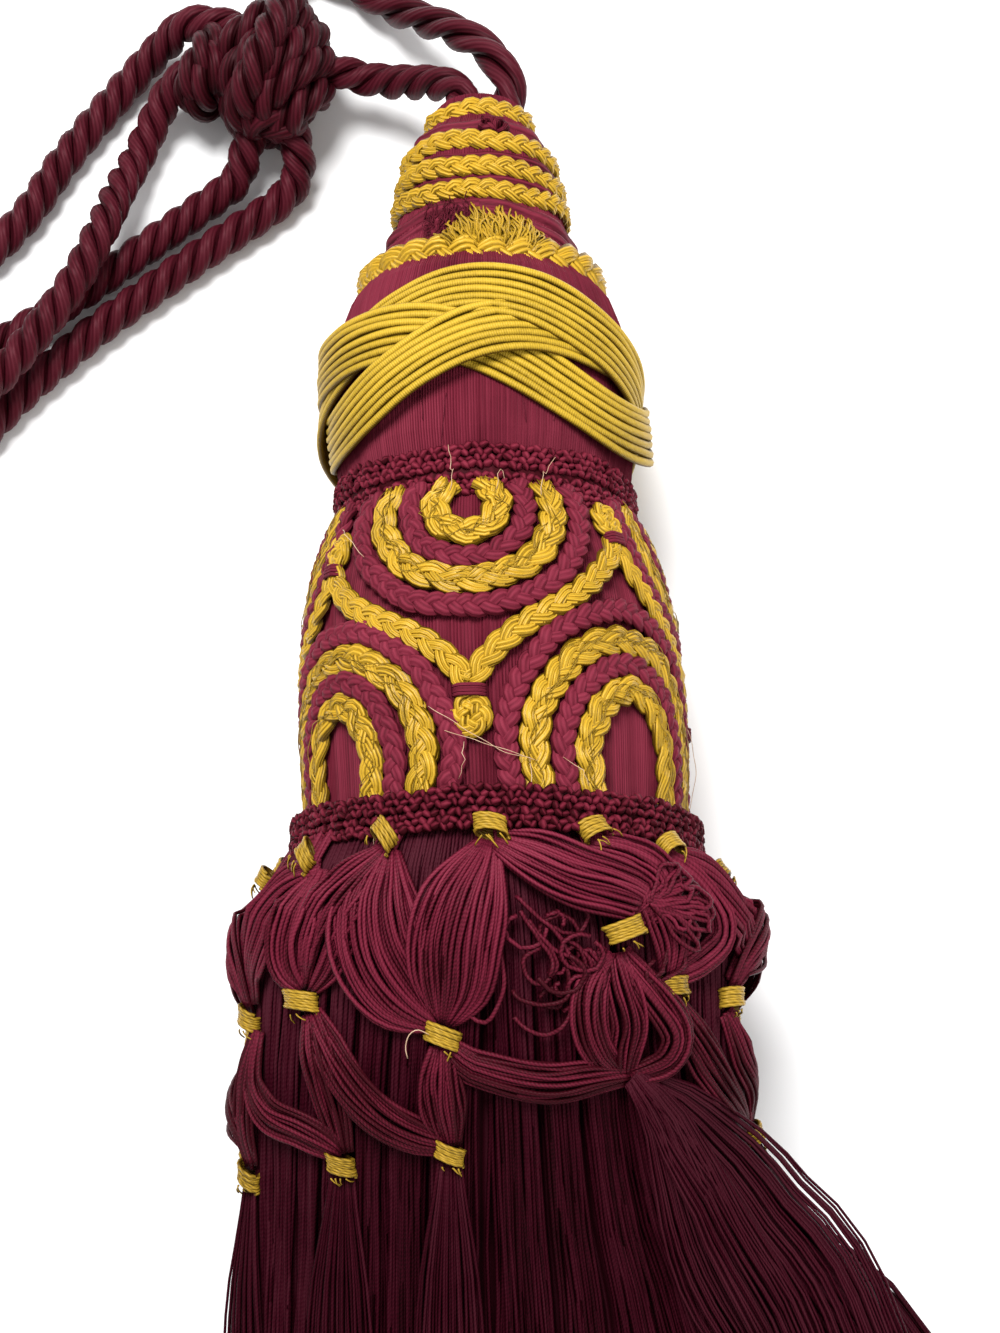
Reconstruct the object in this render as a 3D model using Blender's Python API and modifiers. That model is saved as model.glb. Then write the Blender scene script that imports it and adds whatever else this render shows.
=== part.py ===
"""Curtain tieback tassel lying on its side: a turned head in three moulds covered with thread, plaits and
trims, a long fringe under a netted skirt, and the knotted rope that ties the curtain back.

The head is modelled about its own axis (local +Z runs from the skirt to the neck, local -Y is the front,
which faces up as it lies). The skirt and the rope are modelled on the floor: +X right, +Y to the neck.
Every length below is in millimetres and every angle in degrees.
"""

import math

import bmesh
import bpy
from mathutils import Vector

MM = 0.001

# How the head lies: on the widest part of the barrel's trim and on the gold band, each pressed a little flat
TRIM_R, TRIM_S = 42.0, 4.0
BAND_R, BAND_S = 36.0, 96.0
REST_FLAT, REST_SPAN = 0.4, 13.0
TILT = math.atan2(TRIM_R - BAND_R, BAND_S - TRIM_S)
AXIS_HEIGHT = TRIM_R * math.cos(TILT) + TRIM_S * math.sin(TILT) - REST_FLAT
AXIS_X, BARREL_Y = -26.2, -1.05

# Turned moulds with their thread cover: rows of (station along the axis, radius), from the top down
NECK = ((161.8, 9.8), (156.8, 9.9), (155.6, 15.4), (154.4, 13.6), (149.7, 13.6), (148.5, 17.2),
        (147.4, 15.2), (142.9, 15.2), (141.9, 18.4), (141.1, 16.1), (136.3, 16.1), (135.0, 20.6),
        (131.2, 21.0), (128.3, 20.2))
BELL = ((128.0, 20.9), (123.0, 23.2), (113.0, 28.8), (105.0, 31.2), (97.0, 32.0),
        (87.0, 32.2), (78.0, 31.9), (73.8, 29.6), (65.6, 29.3))
BARREL = ((65.3, 29.3), (63.2, 31.4), (60.0, 33.3), (52.0, 35.6), (42.0, 36.8), (31.0, 37.1),
          (15.0, 36.9), (0.3, 36.3))

TURN_STEPS = {"neck": 24, "bell": 28, "barrel": 32}

# Plaits wound round the neck: station, radius of the seat
NECK_PLAITS = ((159.4, 10.4), (152.0, 14.1), (145.1, 15.7), (138.7, 16.6), (127.4, 22.9))
NECK_PLAIT_W, NECK_PLAIT_H, NECK_PLAIT_STEPS = 4.1, 2.6, 20

# Woven band on the bell: three leads and four bights, each lead a flat run of parallel gimp cords
BAND_CENTRE_S, BAND_SWING = 99.5, 8.8
BAND_W, BAND_H, BAND_LIFT, BAND_ROLL = 9.2, 0.95, 1.25, 0.60
BAND_SEAT, BAND_WEAVE_EASE = 0.75, 0.80
BAND_LEADS, BAND_BIGHTS = 3, 4
BAND_CORDS, BAND_RIBS_W, BAND_GROOVE = 3, 0.94, 0.62
BAND_STEPS = 80
BAND_FRONT = -3.0

# Looped crochet trims round the bell's foot and the barrel's foot. A row's section: share of its height
# from its top, share of the way from the inside to the outside
TRIMS = {
    "bell_trim": dict(s0=65.9, s1=73.2, inner=29.7, outer=32.9, nubs=27, rows=2),
    "barrel_trim": dict(s0=0.4, s1=8.2, inner=36.9, outer=TRIM_R, nubs=34, rows=2),
}
NUB = 0.55
TRIM_ROW = ((0.12, 0.62), (0.55, 1.0))
TRIM_EDGE = 0.25

# Plaits laid on the barrel. Places run round the barrel as arc lengths at this radius
GIRTH_R = 39.0
PLAIT_LIFT, PLAIT_H = 0.65, 2.0
TOP_SET_AT = (-6.0, 84.5, 175.5, 266.0)
TOP_SET_S, TOP_SET_FROM = 60.4, 61.9
TOP_SET = (("gold", 9.1), ("wine", 13.8), ("gold", 18.5), ("wine", 23.1))
ARCH_AT = (-50.0, 39.25, 130.0, 220.75)
ARCH_S, ARCH_FROM = 12.3, 9.0
ARCH = (("gold", 10.3), ("wine", 14.9), ("gold", 19.5), ("wine", 24.0))
PLAIT_W = {"gold": 4.4, "wine": 4.1}
ARC_STEPS = 7
# Half of one wave of the zigzag plait: degrees from the foot of the V, station
ZIGZAG = ((0.0, 22.8), (5.0, 26.8), (10.0, 30.4), (16.0, 34.2), (22.0, 37.1), (28.0, 39.8), (34.0, 43.0),
          (40.0, 47.4), (45.0, 51.4))
MITRE_LIMIT = 0.78
# Small loops of plait: stations of the two rows, half width, half height, and the section as share of the
# way from the loop's inner edge to its outer one, and height
DROP_S, EAR_S = 15.2, 58.0
LOOP_HALF_W, LOOP_HALF_H, LOOP_THICK, LOOP_STEPS = 3.3, 3.7, 1.7, 8
LOOP_SECTION = ((0.0, 0.0), (0.06, 1.5), (0.76, 1.9), (1.0, 0.0))

# Outline of the skirt where it lies: distance along the floor from the barrel's foot, reach to the left and
# to the right of the axis, height of its top
SKIRT = ((-0.3, 39.2, 39.2, 81.6), (-10.0, 45.0, 45.0, 83.6), (-20.0, 50.5, 51.5, 84.0),
         (-45.0, 54.0, 56.5, 77.0), (-60.0, 55.0, 60.0, 69.0), (-91.0, 55.0, 87.0, 53.0),
         (-120.0, 54.0, 103.0, 40.0), (-162.0, 51.0, 112.0, 26.0))
SKIRT_SQUARE, SQUARE_BY = 2.5, -60.0
LEAN_FADES = (-20.0, -60.0)

# Fringe: shells of locks round a padded disc, from the outside in
FRINGE_DISC_R, FRINGE_DISC_S = 31.5, (-0.4, -5.6)
FRINGE_AROUND = 36
FRINGE_RINGS = (0.76, 0.48, 0.2)
FRINGE_STATIONS = (-16.0, -60.0, -92.0)
FRINGE_LENGTH, FAN_SHORTER = 160.0, 0.10
FRINGE_SHELLS = ((1.0, 1), (0.60, 3), (0.24, 6))
FRINGE_UNDER_NET, FRINGE_FREE_BY = 1.6, 30.0
LOCK_FILL, LOCK_TAPER, LOCK_THICK, LOCK_ROOT_INSET = 0.80, 0.28, 0.15, 0.5

# Net of bundles: a heading, then three rows of wrapped ties with the bundles parting between them
NET_AROUND = 14
NET_FRONT = 2.0
NET_T = 2.4
TIE_W, TIE_GIRTH_R = 7.6, 44.0
HEADING_Y = -0.4
TIE_ROWS = ((-3.0, -9.5), (-36.0, -43.0), (-62.0, -69.0))
TAIL_TO = -91.0
BUNDLE_STEPS = 3
BUNDLE_SWELL = 2.4
BUNDLE_PARTING, BUNDLE_EASE, BUNDLE_RAISE = 0.45, 0.5, 1.0
TIE_SWELL, TIE_BELLY = 1.2, 1.12
TAIL_SPREAD, TAIL_HALF_W = 1.1, 0.28
SWELL_TO = -60.0
# Ties that sit out of their row: row, place, shift round the skirt in degrees, shift along it
MOVED_TIES = ((1, 0, 5.0, 8.0), (1, 1, -1.5, 3.0), (1, 2, -4.0, 2.0), (1, 13, 1.0, -3.0), (1, 11, 3.0, 0.0),
              (2, 0, -6.0, 1.0), (2, 13, -4.0, 0.0), (2, 12, -3.0, -2.0), (2, 2, 5.0, 3.0))

# Rope: three strands, laid to the left
ROPE_R, ROPE_GROOVE = 4.5, 0.78
ROPE_PITCH, ROPE_STEPS = 23.4, 5
# Centrelines on the floor frame: x, y, height
ROPES = {
    "rope_leg_low": ((-4.8, 163.6, 31.0), (-5.4, 167.0, 30.4), (-10.0, 171.5, 26.5), (-17.0, 175.3, 20.0),
                     (-23.0, 177.8, 15.5), (-28.5, 179.4, 14.0), (-33.0, 180.4, 14.5)),
    "rope_leg_high": ((4.8, 163.6, 31.0), (4.8, 169.0, 31.3), (1.5, 176.5, 30.0), (-6.0, 185.0, 24.5),
                      (-15.0, 193.5, 15.5), (-24.0, 201.5, 7.6), (-34.0, 209.5, 4.8), (-44.5, 211.8, 5.6),
                      (-49.0, 206.4, 11.0)),
    "rope_loop_outer": ((-69.0, 193.5, 14.0), (-76.0, 191.0, 9.0), (-84.0, 184.5, 4.8), (-92.6, 173.5, 4.7),
                        (-101.0, 161.5, 4.7), (-109.0, 148.5, 4.7), (-121.0, 136.0, 4.7),
                        (-150.0, 114.0, 4.7), (-180.0, 88.0, 4.7), (-196.0, 60.0, 4.7), (-196.0, 38.0, 4.7),
                        (-183.0, 24.0, 4.7), (-165.0, 27.0, 4.7), (-148.0, 47.0, 4.7), (-129.5, 75.0, 4.7),
                        (-112.4, 98.4, 4.7), (-93.2, 117.0, 4.7), (-77.3, 129.4, 4.7), (-62.3, 140.8, 4.7),
                        (-49.0, 150.8, 4.8), (-44.2, 156.6, 6.6), (-44.0, 161.2, 9.6)),
    "rope_loop_inner": ((-70.0, 180.5, 13.0), (-74.6, 177.5, 10.4), (-78.4, 171.5, 7.6), (-82.0, 163.0, 7.0),
                        (-85.4, 153.0, 10.5), (-88.2, 142.0, 14.6), (-94.0, 129.0, 15.0),
                        (-103.0, 115.5, 14.8), (-114.0, 102.0, 14.6), (-127.0, 89.5, 13.8),
                        (-140.0, 77.5, 9.5), (-150.0, 66.0, 5.6), (-158.0, 56.0, 4.7), (-167.0, 53.0, 4.7),
                        (-173.0, 61.0, 4.7), (-166.0, 76.0, 4.7), (-150.0, 92.0, 4.7), (-131.0, 106.0, 4.7),
                        (-112.0, 119.0, 4.7), (-94.0, 131.5, 4.7), (-80.0, 142.2, 4.7), (-68.0, 151.4, 4.7),
                        (-59.0, 157.0, 6.6), (-56.6, 161.4, 9.6)),
}
KNOT_AT, KNOT_HALF = (-51.0, 183.0, 17.0), (15.3, 19.0, 17.3)
KNOT_TURNS, KNOT_RIDGE, KNOT_SLANT = 8, 0.076, 2.4
KNOT_AROUND, KNOT_ALONG = 24, 11

FINISH = {
    "burgundy_rope": ((0.105, 0.012, 0.030, 1.0), 0.55),
    "burgundy_thread": ((0.160, 0.020, 0.045, 1.0), 0.60),
    "burgundy_trim": ((0.120, 0.012, 0.035, 1.0), 0.75),
    "burgundy_plait": ((0.140, 0.018, 0.045, 1.0), 0.65),
    "gold_plait": ((0.560, 0.360, 0.030, 1.0), 0.45),
    "gold_gimp": ((0.600, 0.420, 0.060, 1.0), 0.50),
    "fringe_yarn": ((0.060, 0.006, 0.018, 1.0), 0.70),
    "net_cord": ((0.110, 0.012, 0.032, 1.0), 0.60),
}


def material(name):
    found = bpy.data.materials.get(name)
    if found:
        return found
    made = bpy.data.materials.new(name)
    made.use_nodes = True
    shader = made.node_tree.nodes["Principled BSDF"]
    colour, roughness = FINISH[name]
    shader.inputs["Base Color"].default_value = colour
    shader.inputs["Roughness"].default_value = roughness
    return made


def add_body(name, mesh, finish, parent):
    mesh.materials.append(material(finish))
    body = bpy.data.objects.new(name, mesh)
    body.parent = parent
    bpy.data.collections["tieback_tassel"].objects.link(body)
    return body


def add_empty(name, parent, location, turn_x=0.0):
    empty = bpy.data.objects.new(name, None)
    empty.parent = parent
    empty.location = [value * MM for value in location]
    empty.rotation_euler[0] = turn_x
    empty.hide_render = True
    bpy.data.collections["tieback_tassel"].objects.link(empty)
    return empty


def finish_mesh(bm, name):
    """Turn the working mesh into a mesh whose faces point out, shaded smooth with crisp edges kept."""
    bmesh.ops.recalc_face_normals(bm, faces=bm.faces)
    mesh = bpy.data.meshes.new(name)
    bm.to_mesh(mesh)
    bm.free()
    mesh.shade_smooth()
    mesh.set_sharp_from_angle(angle=math.radians(50))
    return mesh


def loft(name, rings, closed, finish, parent):
    """One closed body through rings of points; it closes on itself, or its ends are capped."""
    bm = bmesh.new()
    loops = [[bm.verts.new(Vector(point) * MM) for point in ring] for ring in rings]
    pairs = list(zip(loops, loops[1:]))
    if closed:
        pairs.append((loops[-1], loops[0]))
    for near, far in pairs:
        for i in range(len(near)):
            j = (i + 1) % len(near)
            bm.faces.new((near[i], near[j], far[j], far[i]))
    if not closed:
        bm.faces.new(list(reversed(loops[0])))
        bm.faces.new(loops[-1])
    return add_body(name, finish_mesh(bm, name), finish, parent)


def lerp(a, b, t):
    return a + (b - a) * t


def from_table(rows, key, column):
    """Value of a column at this key, straight between the rows, whose first column falls from row to row."""
    if key >= rows[0][0]:
        return rows[0][column]
    for upper, lower in zip(rows, rows[1:]):
        if key >= lower[0]:
            return lerp(lower[column], upper[column], (key - lower[0]) / (upper[0] - lower[0]))
    return rows[-1][column]


def around(angle, radius, station):
    """Point about the head's axis, the angle counted from the front and to the right."""
    turn = math.radians(angle)
    return Vector((radius * math.sin(turn), -radius * math.cos(turn), station))


def on_mould(profile, angle, station, height, near=1.0):
    """Point this high above a mould's surface, along the surface's own normal."""
    slope = (from_table(profile, station + near, 1) - from_table(profile, station - near, 1)) / (2 * near)
    outward = around(angle, 1.0, -slope).normalized()
    return around(angle, from_table(profile, station, 1), station) + outward * height


def rest_flat(point):
    """Press a point of the head that would be under the floor up to the floor."""
    front = (point.z * math.sin(TILT) - AXIS_HEIGHT) / math.cos(TILT)
    return Vector((point.x, min(point.y, -front), point.z))


def rests_at(angle):
    """Whether this side of the head is the one pressed on the floor, where its relief is squeezed out."""
    return abs((angle % 360.0) - 180.0) < REST_SPAN


def turned(name, profile, finish, parent):
    """Turned mould: its profile from the top down, spun about the axis."""
    outline = [(0.0, profile[0][0])] + [(radius, station) for station, radius in profile]
    outline.append((0.0, profile[-1][0]))
    mesh = bpy.data.meshes.new(name)
    places = [(radius * MM, 0.0, station * MM) for radius, station in outline]
    mesh.from_pydata(places, [(i, i + 1) for i in range(len(places) - 1)], [])
    body = add_body(name, mesh, finish, parent)
    spin = body.modifiers.new("spin", "SCREW")
    spin.steps = TURN_STEPS[name]
    spin.render_steps = TURN_STEPS[name]
    spin.use_merge_vertices = True
    spin.merge_threshold = 0.00001
    spin.use_smooth_shade = True


def plait_section(width, height, turn):
    """Flat three-strand plait cut across, as points of (across, up). Its high side changes at each cut."""
    side = 1.0 if turn % 2 else -1.0
    points = [(-0.5, 0.0), (-0.47 - 0.03 * side, 0.66 - 0.16 * side), (0.08 * side, 1.0),
              (0.47 - 0.03 * side, 0.66 + 0.16 * side), (0.5, 0.0)]
    return [(across * width, up * height) for across, up in points]


def along(path, step):
    """The path's points moved to even steps of about this length, its ends kept."""
    lengths = [0.0]
    for a, b in zip(path, path[1:]):
        lengths.append(lengths[-1] + (b - a).length)
    count = max(3, round(lengths[-1] / step))
    places, i = [], 0
    for k in range(count + 1):
        want = lengths[-1] * k / count
        while i < len(lengths) - 2 and lengths[i + 1] < want:
            i += 1
        part = (want - lengths[i]) / max(lengths[i + 1] - lengths[i], 1e-9)
        places.append(path[i].lerp(path[i + 1], part))
    return places


def plait_on_barrel(name, path, kind, closed, parent):
    """Plait laid on the barrel along a path of (arc round the barrel, station)."""
    count, rings = len(path), []
    for k, place in enumerate(path):
        before = path[(k - 1) % count] if closed or k else place
        after = path[(k + 1) % count] if closed or k < count - 1 else place
        if closed:
            wrap = 2 * math.pi * GIRTH_R
            before = before - Vector((wrap, 0)) * round((before.x - place.x) / wrap)
            after = after - Vector((wrap, 0)) * round((after.x - place.x) / wrap)
        go_in, go_out = (place - before), (after - place)
        run = (go_in.normalized() + go_out.normalized()).normalized()
        mitre = 1.0 / max(run.dot((go_out if go_out.length else go_in).normalized()), MITRE_LIMIT)
        across = Vector((-run.y, run.x))
        ring = []
        for u, up in plait_section(PLAIT_W[kind] * mitre, PLAIT_H, k):
            spot = place + across * u
            ring.append(rest_flat(on_mould(BARREL, math.degrees(spot.x / GIRTH_R), spot.y, PLAIT_LIFT + up)))
        rings.append(ring)
    finish = {"gold": "gold_plait", "wine": "burgundy_plait"}[kind]
    loft(name, rings, closed, finish, parent)


def arc_path(centre_angle, centre_s, from_s, radius, opens_up):
    """Half round with two short legs, as an inverted U where opens_up is false."""
    way = 1.0 if opens_up else -1.0
    middle = math.radians(centre_angle) * GIRTH_R
    path = [Vector((middle - radius, from_s))]
    for k in range(ARC_STEPS + 1):
        turn = math.pi * k / ARC_STEPS
        path.append(Vector((middle - radius * math.cos(turn), centre_s - way * radius * math.sin(turn))))
    path.append(Vector((middle + radius, from_s)))
    return path


def barrel_plaits(parent):
    for number, angle in enumerate(TOP_SET_AT, 1):
        for kind, radius in TOP_SET:
            path = arc_path(angle, TOP_SET_S, TOP_SET_FROM, radius, True)
            plait_on_barrel(f"top_{number}_{kind}_{radius:.0f}", path, kind, False, parent)
    for number, angle in enumerate(ARCH_AT, 1):
        for kind, radius in ARCH:
            path = arc_path(angle, ARCH_S, ARCH_FROM, radius, False)
            plait_on_barrel(f"arch_{number}_{kind}_{radius:.0f}", path, kind, False, parent)


def zigzag_plait(parent):
    """One closed plait in four waves, with a small loop of plait at the foot of each V and at each ear."""
    path, waves = [], len(TOP_SET_AT)
    half_wave = ZIGZAG[-1][0]
    for number, foot in enumerate(TOP_SET_AT):
        left = (foot - TOP_SET_AT[number - 1]) % 360.0 / 2.0 / half_wave
        right = (TOP_SET_AT[(number + 1) % waves] - foot) % 360.0 / 2.0 / half_wave
        down = [(foot - degrees * left, station) for degrees, station in reversed(ZIGZAG[1:-1])]
        up = [(foot + degrees * right, station) for degrees, station in ZIGZAG]
        for angle, station in down + up:
            path.append(Vector((math.radians(angle) * GIRTH_R, station)))
        plait_loop(f"drop_loop_{number + 1}", foot, DROP_S, parent)
        plait_loop(f"ear_loop_{number + 1}", foot + half_wave * right, EAR_S, parent)
    plait_on_barrel("zigzag_plait", path, "gold", True, parent)


def plait_loop(name, angle, station, parent):
    """Small loop of gold plait lying on the barrel, bound off where it meets the zigzag."""
    rings = []
    for k in range(LOOP_STEPS):
        turn = 2 * math.pi * k / LOOP_STEPS
        ring = []
        for part, up in LOOP_SECTION:
            reach = LOOP_HALF_W - LOOP_THICK * (1.0 - part)
            u = math.radians(angle) * GIRTH_R + reach * math.cos(turn)
            s = station + reach * LOOP_HALF_H / LOOP_HALF_W * math.sin(turn)
            ring.append(rest_flat(on_mould(BARREL, math.degrees(u / GIRTH_R), s, PLAIT_LIFT + up)))
        rings.append(ring)
    loft(name, rings, True, "gold_plait", parent)


def neck_plaits(parent):
    for number, (station, seat) in enumerate(NECK_PLAITS, 1):
        rings = []
        for k in range(NECK_PLAIT_STEPS):
            angle = 360.0 * k / NECK_PLAIT_STEPS
            ring = []
            for across, up in plait_section(NECK_PLAIT_W, NECK_PLAIT_H, k):
                ring.append(around(angle, seat + up, station + across))
            rings.append(ring)
        loft(f"neck_plait_{number}", rings, True, "gold_plait", parent)


def woven_band(parent):
    """Closed band that goes three times round the bell, passing over and under itself by turns."""
    rings, section = [], [(-0.5, 0.0)]
    ribs = 2 * BAND_CORDS - 1
    for i in range(ribs):
        section.append((BAND_RIBS_W * (i / (ribs - 1) - 0.5), BAND_GROOVE if i % 2 else 1.0))
    section.append((0.5, 0.0))
    round_share = BAND_LEADS / BAND_BIGHTS
    for k in range(BAND_STEPS):
        phase = 2 * math.pi * BAND_BIGHTS * k / BAND_STEPS
        angle = BAND_FRONT + round_share * math.degrees(phase)
        station = BAND_CENTRE_S + BAND_SWING * math.cos(phase)
        weave = max(-1.0, min(1.0, math.sin(2 * phase) / BAND_WEAVE_EASE))
        lift = BAND_SEAT + BAND_LIFT * (1.0 + weave)
        radius = from_table(BELL, station, 1)
        run = Vector((round_share * radius, -BAND_SWING * math.sin(phase))).normalized()
        ring = []
        for across, up in section:
            u, s = -run.y * across * BAND_W, run.x * across * BAND_W
            if rests_at(angle) and up:
                up = 1.0
            height = lift + up * BAND_H + BAND_ROLL * math.sin(phase) * across * 2.0
            spot = on_mould(BELL, angle + math.degrees(u / radius), station + s, height)
            ring.append(rest_flat(spot))
        rings.append(ring)
    loft("woven_band", rings, True, "gold_gimp", parent)


def trim(name, s0, s1, inner, outer, nubs, rows, parent):
    """Crochet trim: a ring whose outer side swells into rows of staggered loops."""
    steps, rings = nubs * 2, []
    height = s1 - s0
    for k in range(steps):
        angle = 360.0 * k / steps
        edge = TRIM_EDGE * height
        ring = [around(angle, inner, s0 + edge), around(angle, inner, s1 - edge)]
        for row in range(rows):
            nub = NUB if (k + row) % 2 else -NUB
            top = s1 - height * row / rows
            for part, reach in TRIM_ROW:
                radius = inner + (outer - NUB - inner) * reach + nub
                if outer == TRIM_R and rests_at(angle):
                    radius = outer
                ring.append(rest_flat(around(angle, radius, top - part * height / rows)))
        ring.append(rest_flat(around(angle, inner + (outer - inner) * TRIM_ROW[0][1], s0)))
        rings.append(ring)
    loft(name, rings, True, "burgundy_trim", parent)


def skirt_point(angle, y, inset, depth=1.0):
    """Point of the skirt on the floor frame, this far inside its outline, at a share of the way out."""
    left, right, top = (from_table(SKIRT, y, column) for column in (1, 2, 3))
    turn = math.radians(angle)
    centre_x, half_w, half_h = (right - left) / 2.0, (right + left) / 2.0 - inset, top / 2.0 - inset
    power = 2.0 / lerp(2.0, SKIRT_SQUARE, min(1.0, max(0.0, y / SQUARE_BY)))
    across = math.copysign(abs(math.sin(turn)) ** power, math.sin(turn))
    up = math.copysign(abs(math.cos(turn)) ** power, math.cos(turn))
    height = max(top / 2.0 + half_h * up * depth, 0.0)
    leaning, upright = LEAN_FADES
    lean = math.tan(TILT) * max(0.0, min(1.0, (y - upright) / (leaning - upright)))
    return Vector((centre_x + half_w * across * depth, y + (height - AXIS_HEIGHT) * lean, height))


def lock_end(angle):
    """Where a lock of the fringe ends: the locks are equally long, so those that fan out end sooner."""
    fan = max(0.0, math.sin(math.radians(angle)))
    return -FRINGE_LENGTH * (1.0 - FAN_SHORTER * fan)


def fringe(parent):
    """Long fringe: a padded disc with locks grown out of its rim and its lower face, in three shells."""
    bm = bmesh.new()
    top, bottom = FRINGE_DISC_S

    def circle(radius, y):
        spots = []
        for k in range(FRINGE_AROUND):
            turn = 2 * math.pi * (k + 0.5) / FRINGE_AROUND
            up = radius * math.cos(turn)
            place = Vector((radius * math.sin(turn), y + up * math.tan(TILT), AXIS_HEIGHT + up))
            spots.append(bm.verts.new(place * MM))
        return spots

    levels = [circle(FRINGE_DISC_R, top), circle(FRINGE_DISC_R, bottom)]
    levels += [circle(FRINGE_DISC_R * share, bottom) for share in FRINGE_RINGS]
    walls = []
    for upper, lower in zip(levels, levels[1:]):
        corners = zip(upper, lower, lower[-1:] + lower[:-1], upper[-1:] + upper[:-1])
        walls.append([bm.faces.new(four) for four in corners])
    bm.faces.new(levels[0])
    bm.faces.new(list(reversed(levels[-1])))
    bm.normal_update()
    for (depth, every), faces in zip(FRINGE_SHELLS, (walls[0], walls[2], walls[3])):
        for k in range(0, FRINGE_AROUND, every):
            grow_lock(bm, faces[k], 360.0 * k / FRINGE_AROUND, depth, every)
    add_body("fringe", finish_mesh(bm, "fringe"), "fringe_yarn", parent)


def fringe_inset(y):
    """How far the fringe lies inside the skirt's outline: under the net first, then free of it."""
    return lerp(NET_T + FRINGE_UNDER_NET, 0.0, min(1.0, max(0.0, (TAIL_TO - 1.0 - y) / FRINGE_FREE_BY)))


def grow_lock(bm, face, angle, depth, every):
    """Grow one lock out of a face of the disc, by insetting it and drawing it out station by station."""
    stations = [FRINGE_STATIONS[1], lock_end(angle)]
    if every == 1:
        bmesh.ops.inset_individual(bm, faces=[face], thickness=LOCK_ROOT_INSET * MM)
        stations = list(FRINGE_STATIONS) + [lock_end(angle)]
    half = 180.0 / FRINGE_AROUND * every * LOCK_FILL
    middle = face.calc_center_median()
    turn = math.radians(angle)
    aside = Vector((math.cos(turn), 0.0, -math.sin(turn)))
    outward = Vector((math.sin(turn), 0.0, math.cos(turn)))
    corners = []
    for vert in face.verts:
        way = vert.co - middle
        side = 1.0 if way.dot(aside) > 0 else -1.0
        faces_down = abs(face.normal.y) > 0.5
        out = 1.0 if (way.dot(outward) if faces_down else way.y) > 0 else -1.0
        corners.append((side, out))
    for number, y in enumerate(stations):
        taper = 1.0 - LOCK_TAPER * number / len(stations)
        made = bmesh.ops.extrude_discrete_faces(bm, faces=[face])["faces"]
        face = made[0]
        for vert, (side, out) in zip(face.verts, corners):
            reach = depth if out > 0 else depth - LOCK_THICK * taper
            place = skirt_point(angle + side * half * taper, y, fringe_inset(y), reach)
            vert.co = place * MM


def tie_half_angle():
    return math.degrees(TIE_W / 2.0 / TIE_GIRTH_R)


def tie_place(row, place):
    """Angle and shift along the skirt of one wrapped tie; the rows are set half a place apart."""
    angle = NET_FRONT + 360.0 / NET_AROUND * (place + (0.5 if row == 1 else 0.0))
    shift = 0.0
    for moved_row, moved_place, turn, slide in MOVED_TIES:
        if (moved_row, moved_place) == (row, place % NET_AROUND):
            angle += turn
            shift = slide
    return angle, shift


def net(parent):
    """Netted skirt: an open net of flat bundles between wrapped ties, thickened inward."""
    bm = bmesh.new()

    def spot(angle, y, swell=0.0):
        return bm.verts.new(skirt_point(angle, y, -swell if y > SWELL_TO else 0.0) * MM)

    half = tie_half_angle()
    ties = {}
    for row, (upper, lower) in enumerate(TIE_ROWS):
        for place in range(NET_AROUND):
            angle, shift = tie_place(row, place)
            y0, y1 = upper + shift, lower + shift
            middle = (y0 + y1) / 2.0
            ties[row, place] = dict(
                top=[spot(angle + side * half, y0) for side in (-1, 0, 1)],
                belly=[spot(angle + side * half * TIE_BELLY, middle, TIE_SWELL) for side in (-1, 0, 1)],
                foot=[spot(angle + side * half, y1) for side in (-1, 0, 1)],
                angle=angle, y0=y0, y1=y1)
            tie = ties[row, place]
            for upper_edge, lower_edge in ((tie["top"], tie["belly"]), (tie["belly"], tie["foot"])):
                for i in (0, 1):
                    bm.faces.new((upper_edge[i], lower_edge[i], lower_edge[i + 1], upper_edge[i + 1]))
    heading = []
    for place in range(NET_AROUND):
        tie = ties[0, place]
        for side in (-1, 0, 1):
            heading.append((spot(tie["angle"] + side * half, HEADING_Y), tie["top"][side + 1]))
    for (upper_a, lower_a), (upper_b, lower_b) in zip(heading, heading[1:] + heading[:1]):
        bm.faces.new((upper_a, lower_a, lower_b, upper_b))
    for row in (0, 1):
        for place in range(NET_AROUND):
            step = 0 if row == 0 else 1
            left = ties[row + 1, (place - 1 + step) % NET_AROUND]
            right = ties[row + 1, (place + step) % NET_AROUND]
            tie = ties[row, place]
            bundle(bm, spot, tie, tie["foot"][0:2], left, left["top"][1:3], -1)
            bundle(bm, spot, tie, tie["foot"][1:3], right, right["top"][0:2], 1)
    for place in range(NET_AROUND):
        tail(bm, spot, ties[2, place], half)
    body = add_body("net", finish_mesh_open(bm, "net"), "net_cord", parent)
    thicken = body.modifiers.new("thicken", "SOLIDIFY")
    thicken.thickness = NET_T * MM
    thicken.offset = -1.0


def finish_mesh_open(bm, name):
    mesh = bpy.data.meshes.new(name)
    bm.to_mesh(mesh)
    bm.free()
    mesh.shade_smooth()
    return mesh


def nearest_turn(angle, other):
    """The other angle, counted so that it lies within half a turn of the first."""
    return other - 360.0 * round((other - angle) / 360.0)


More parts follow.
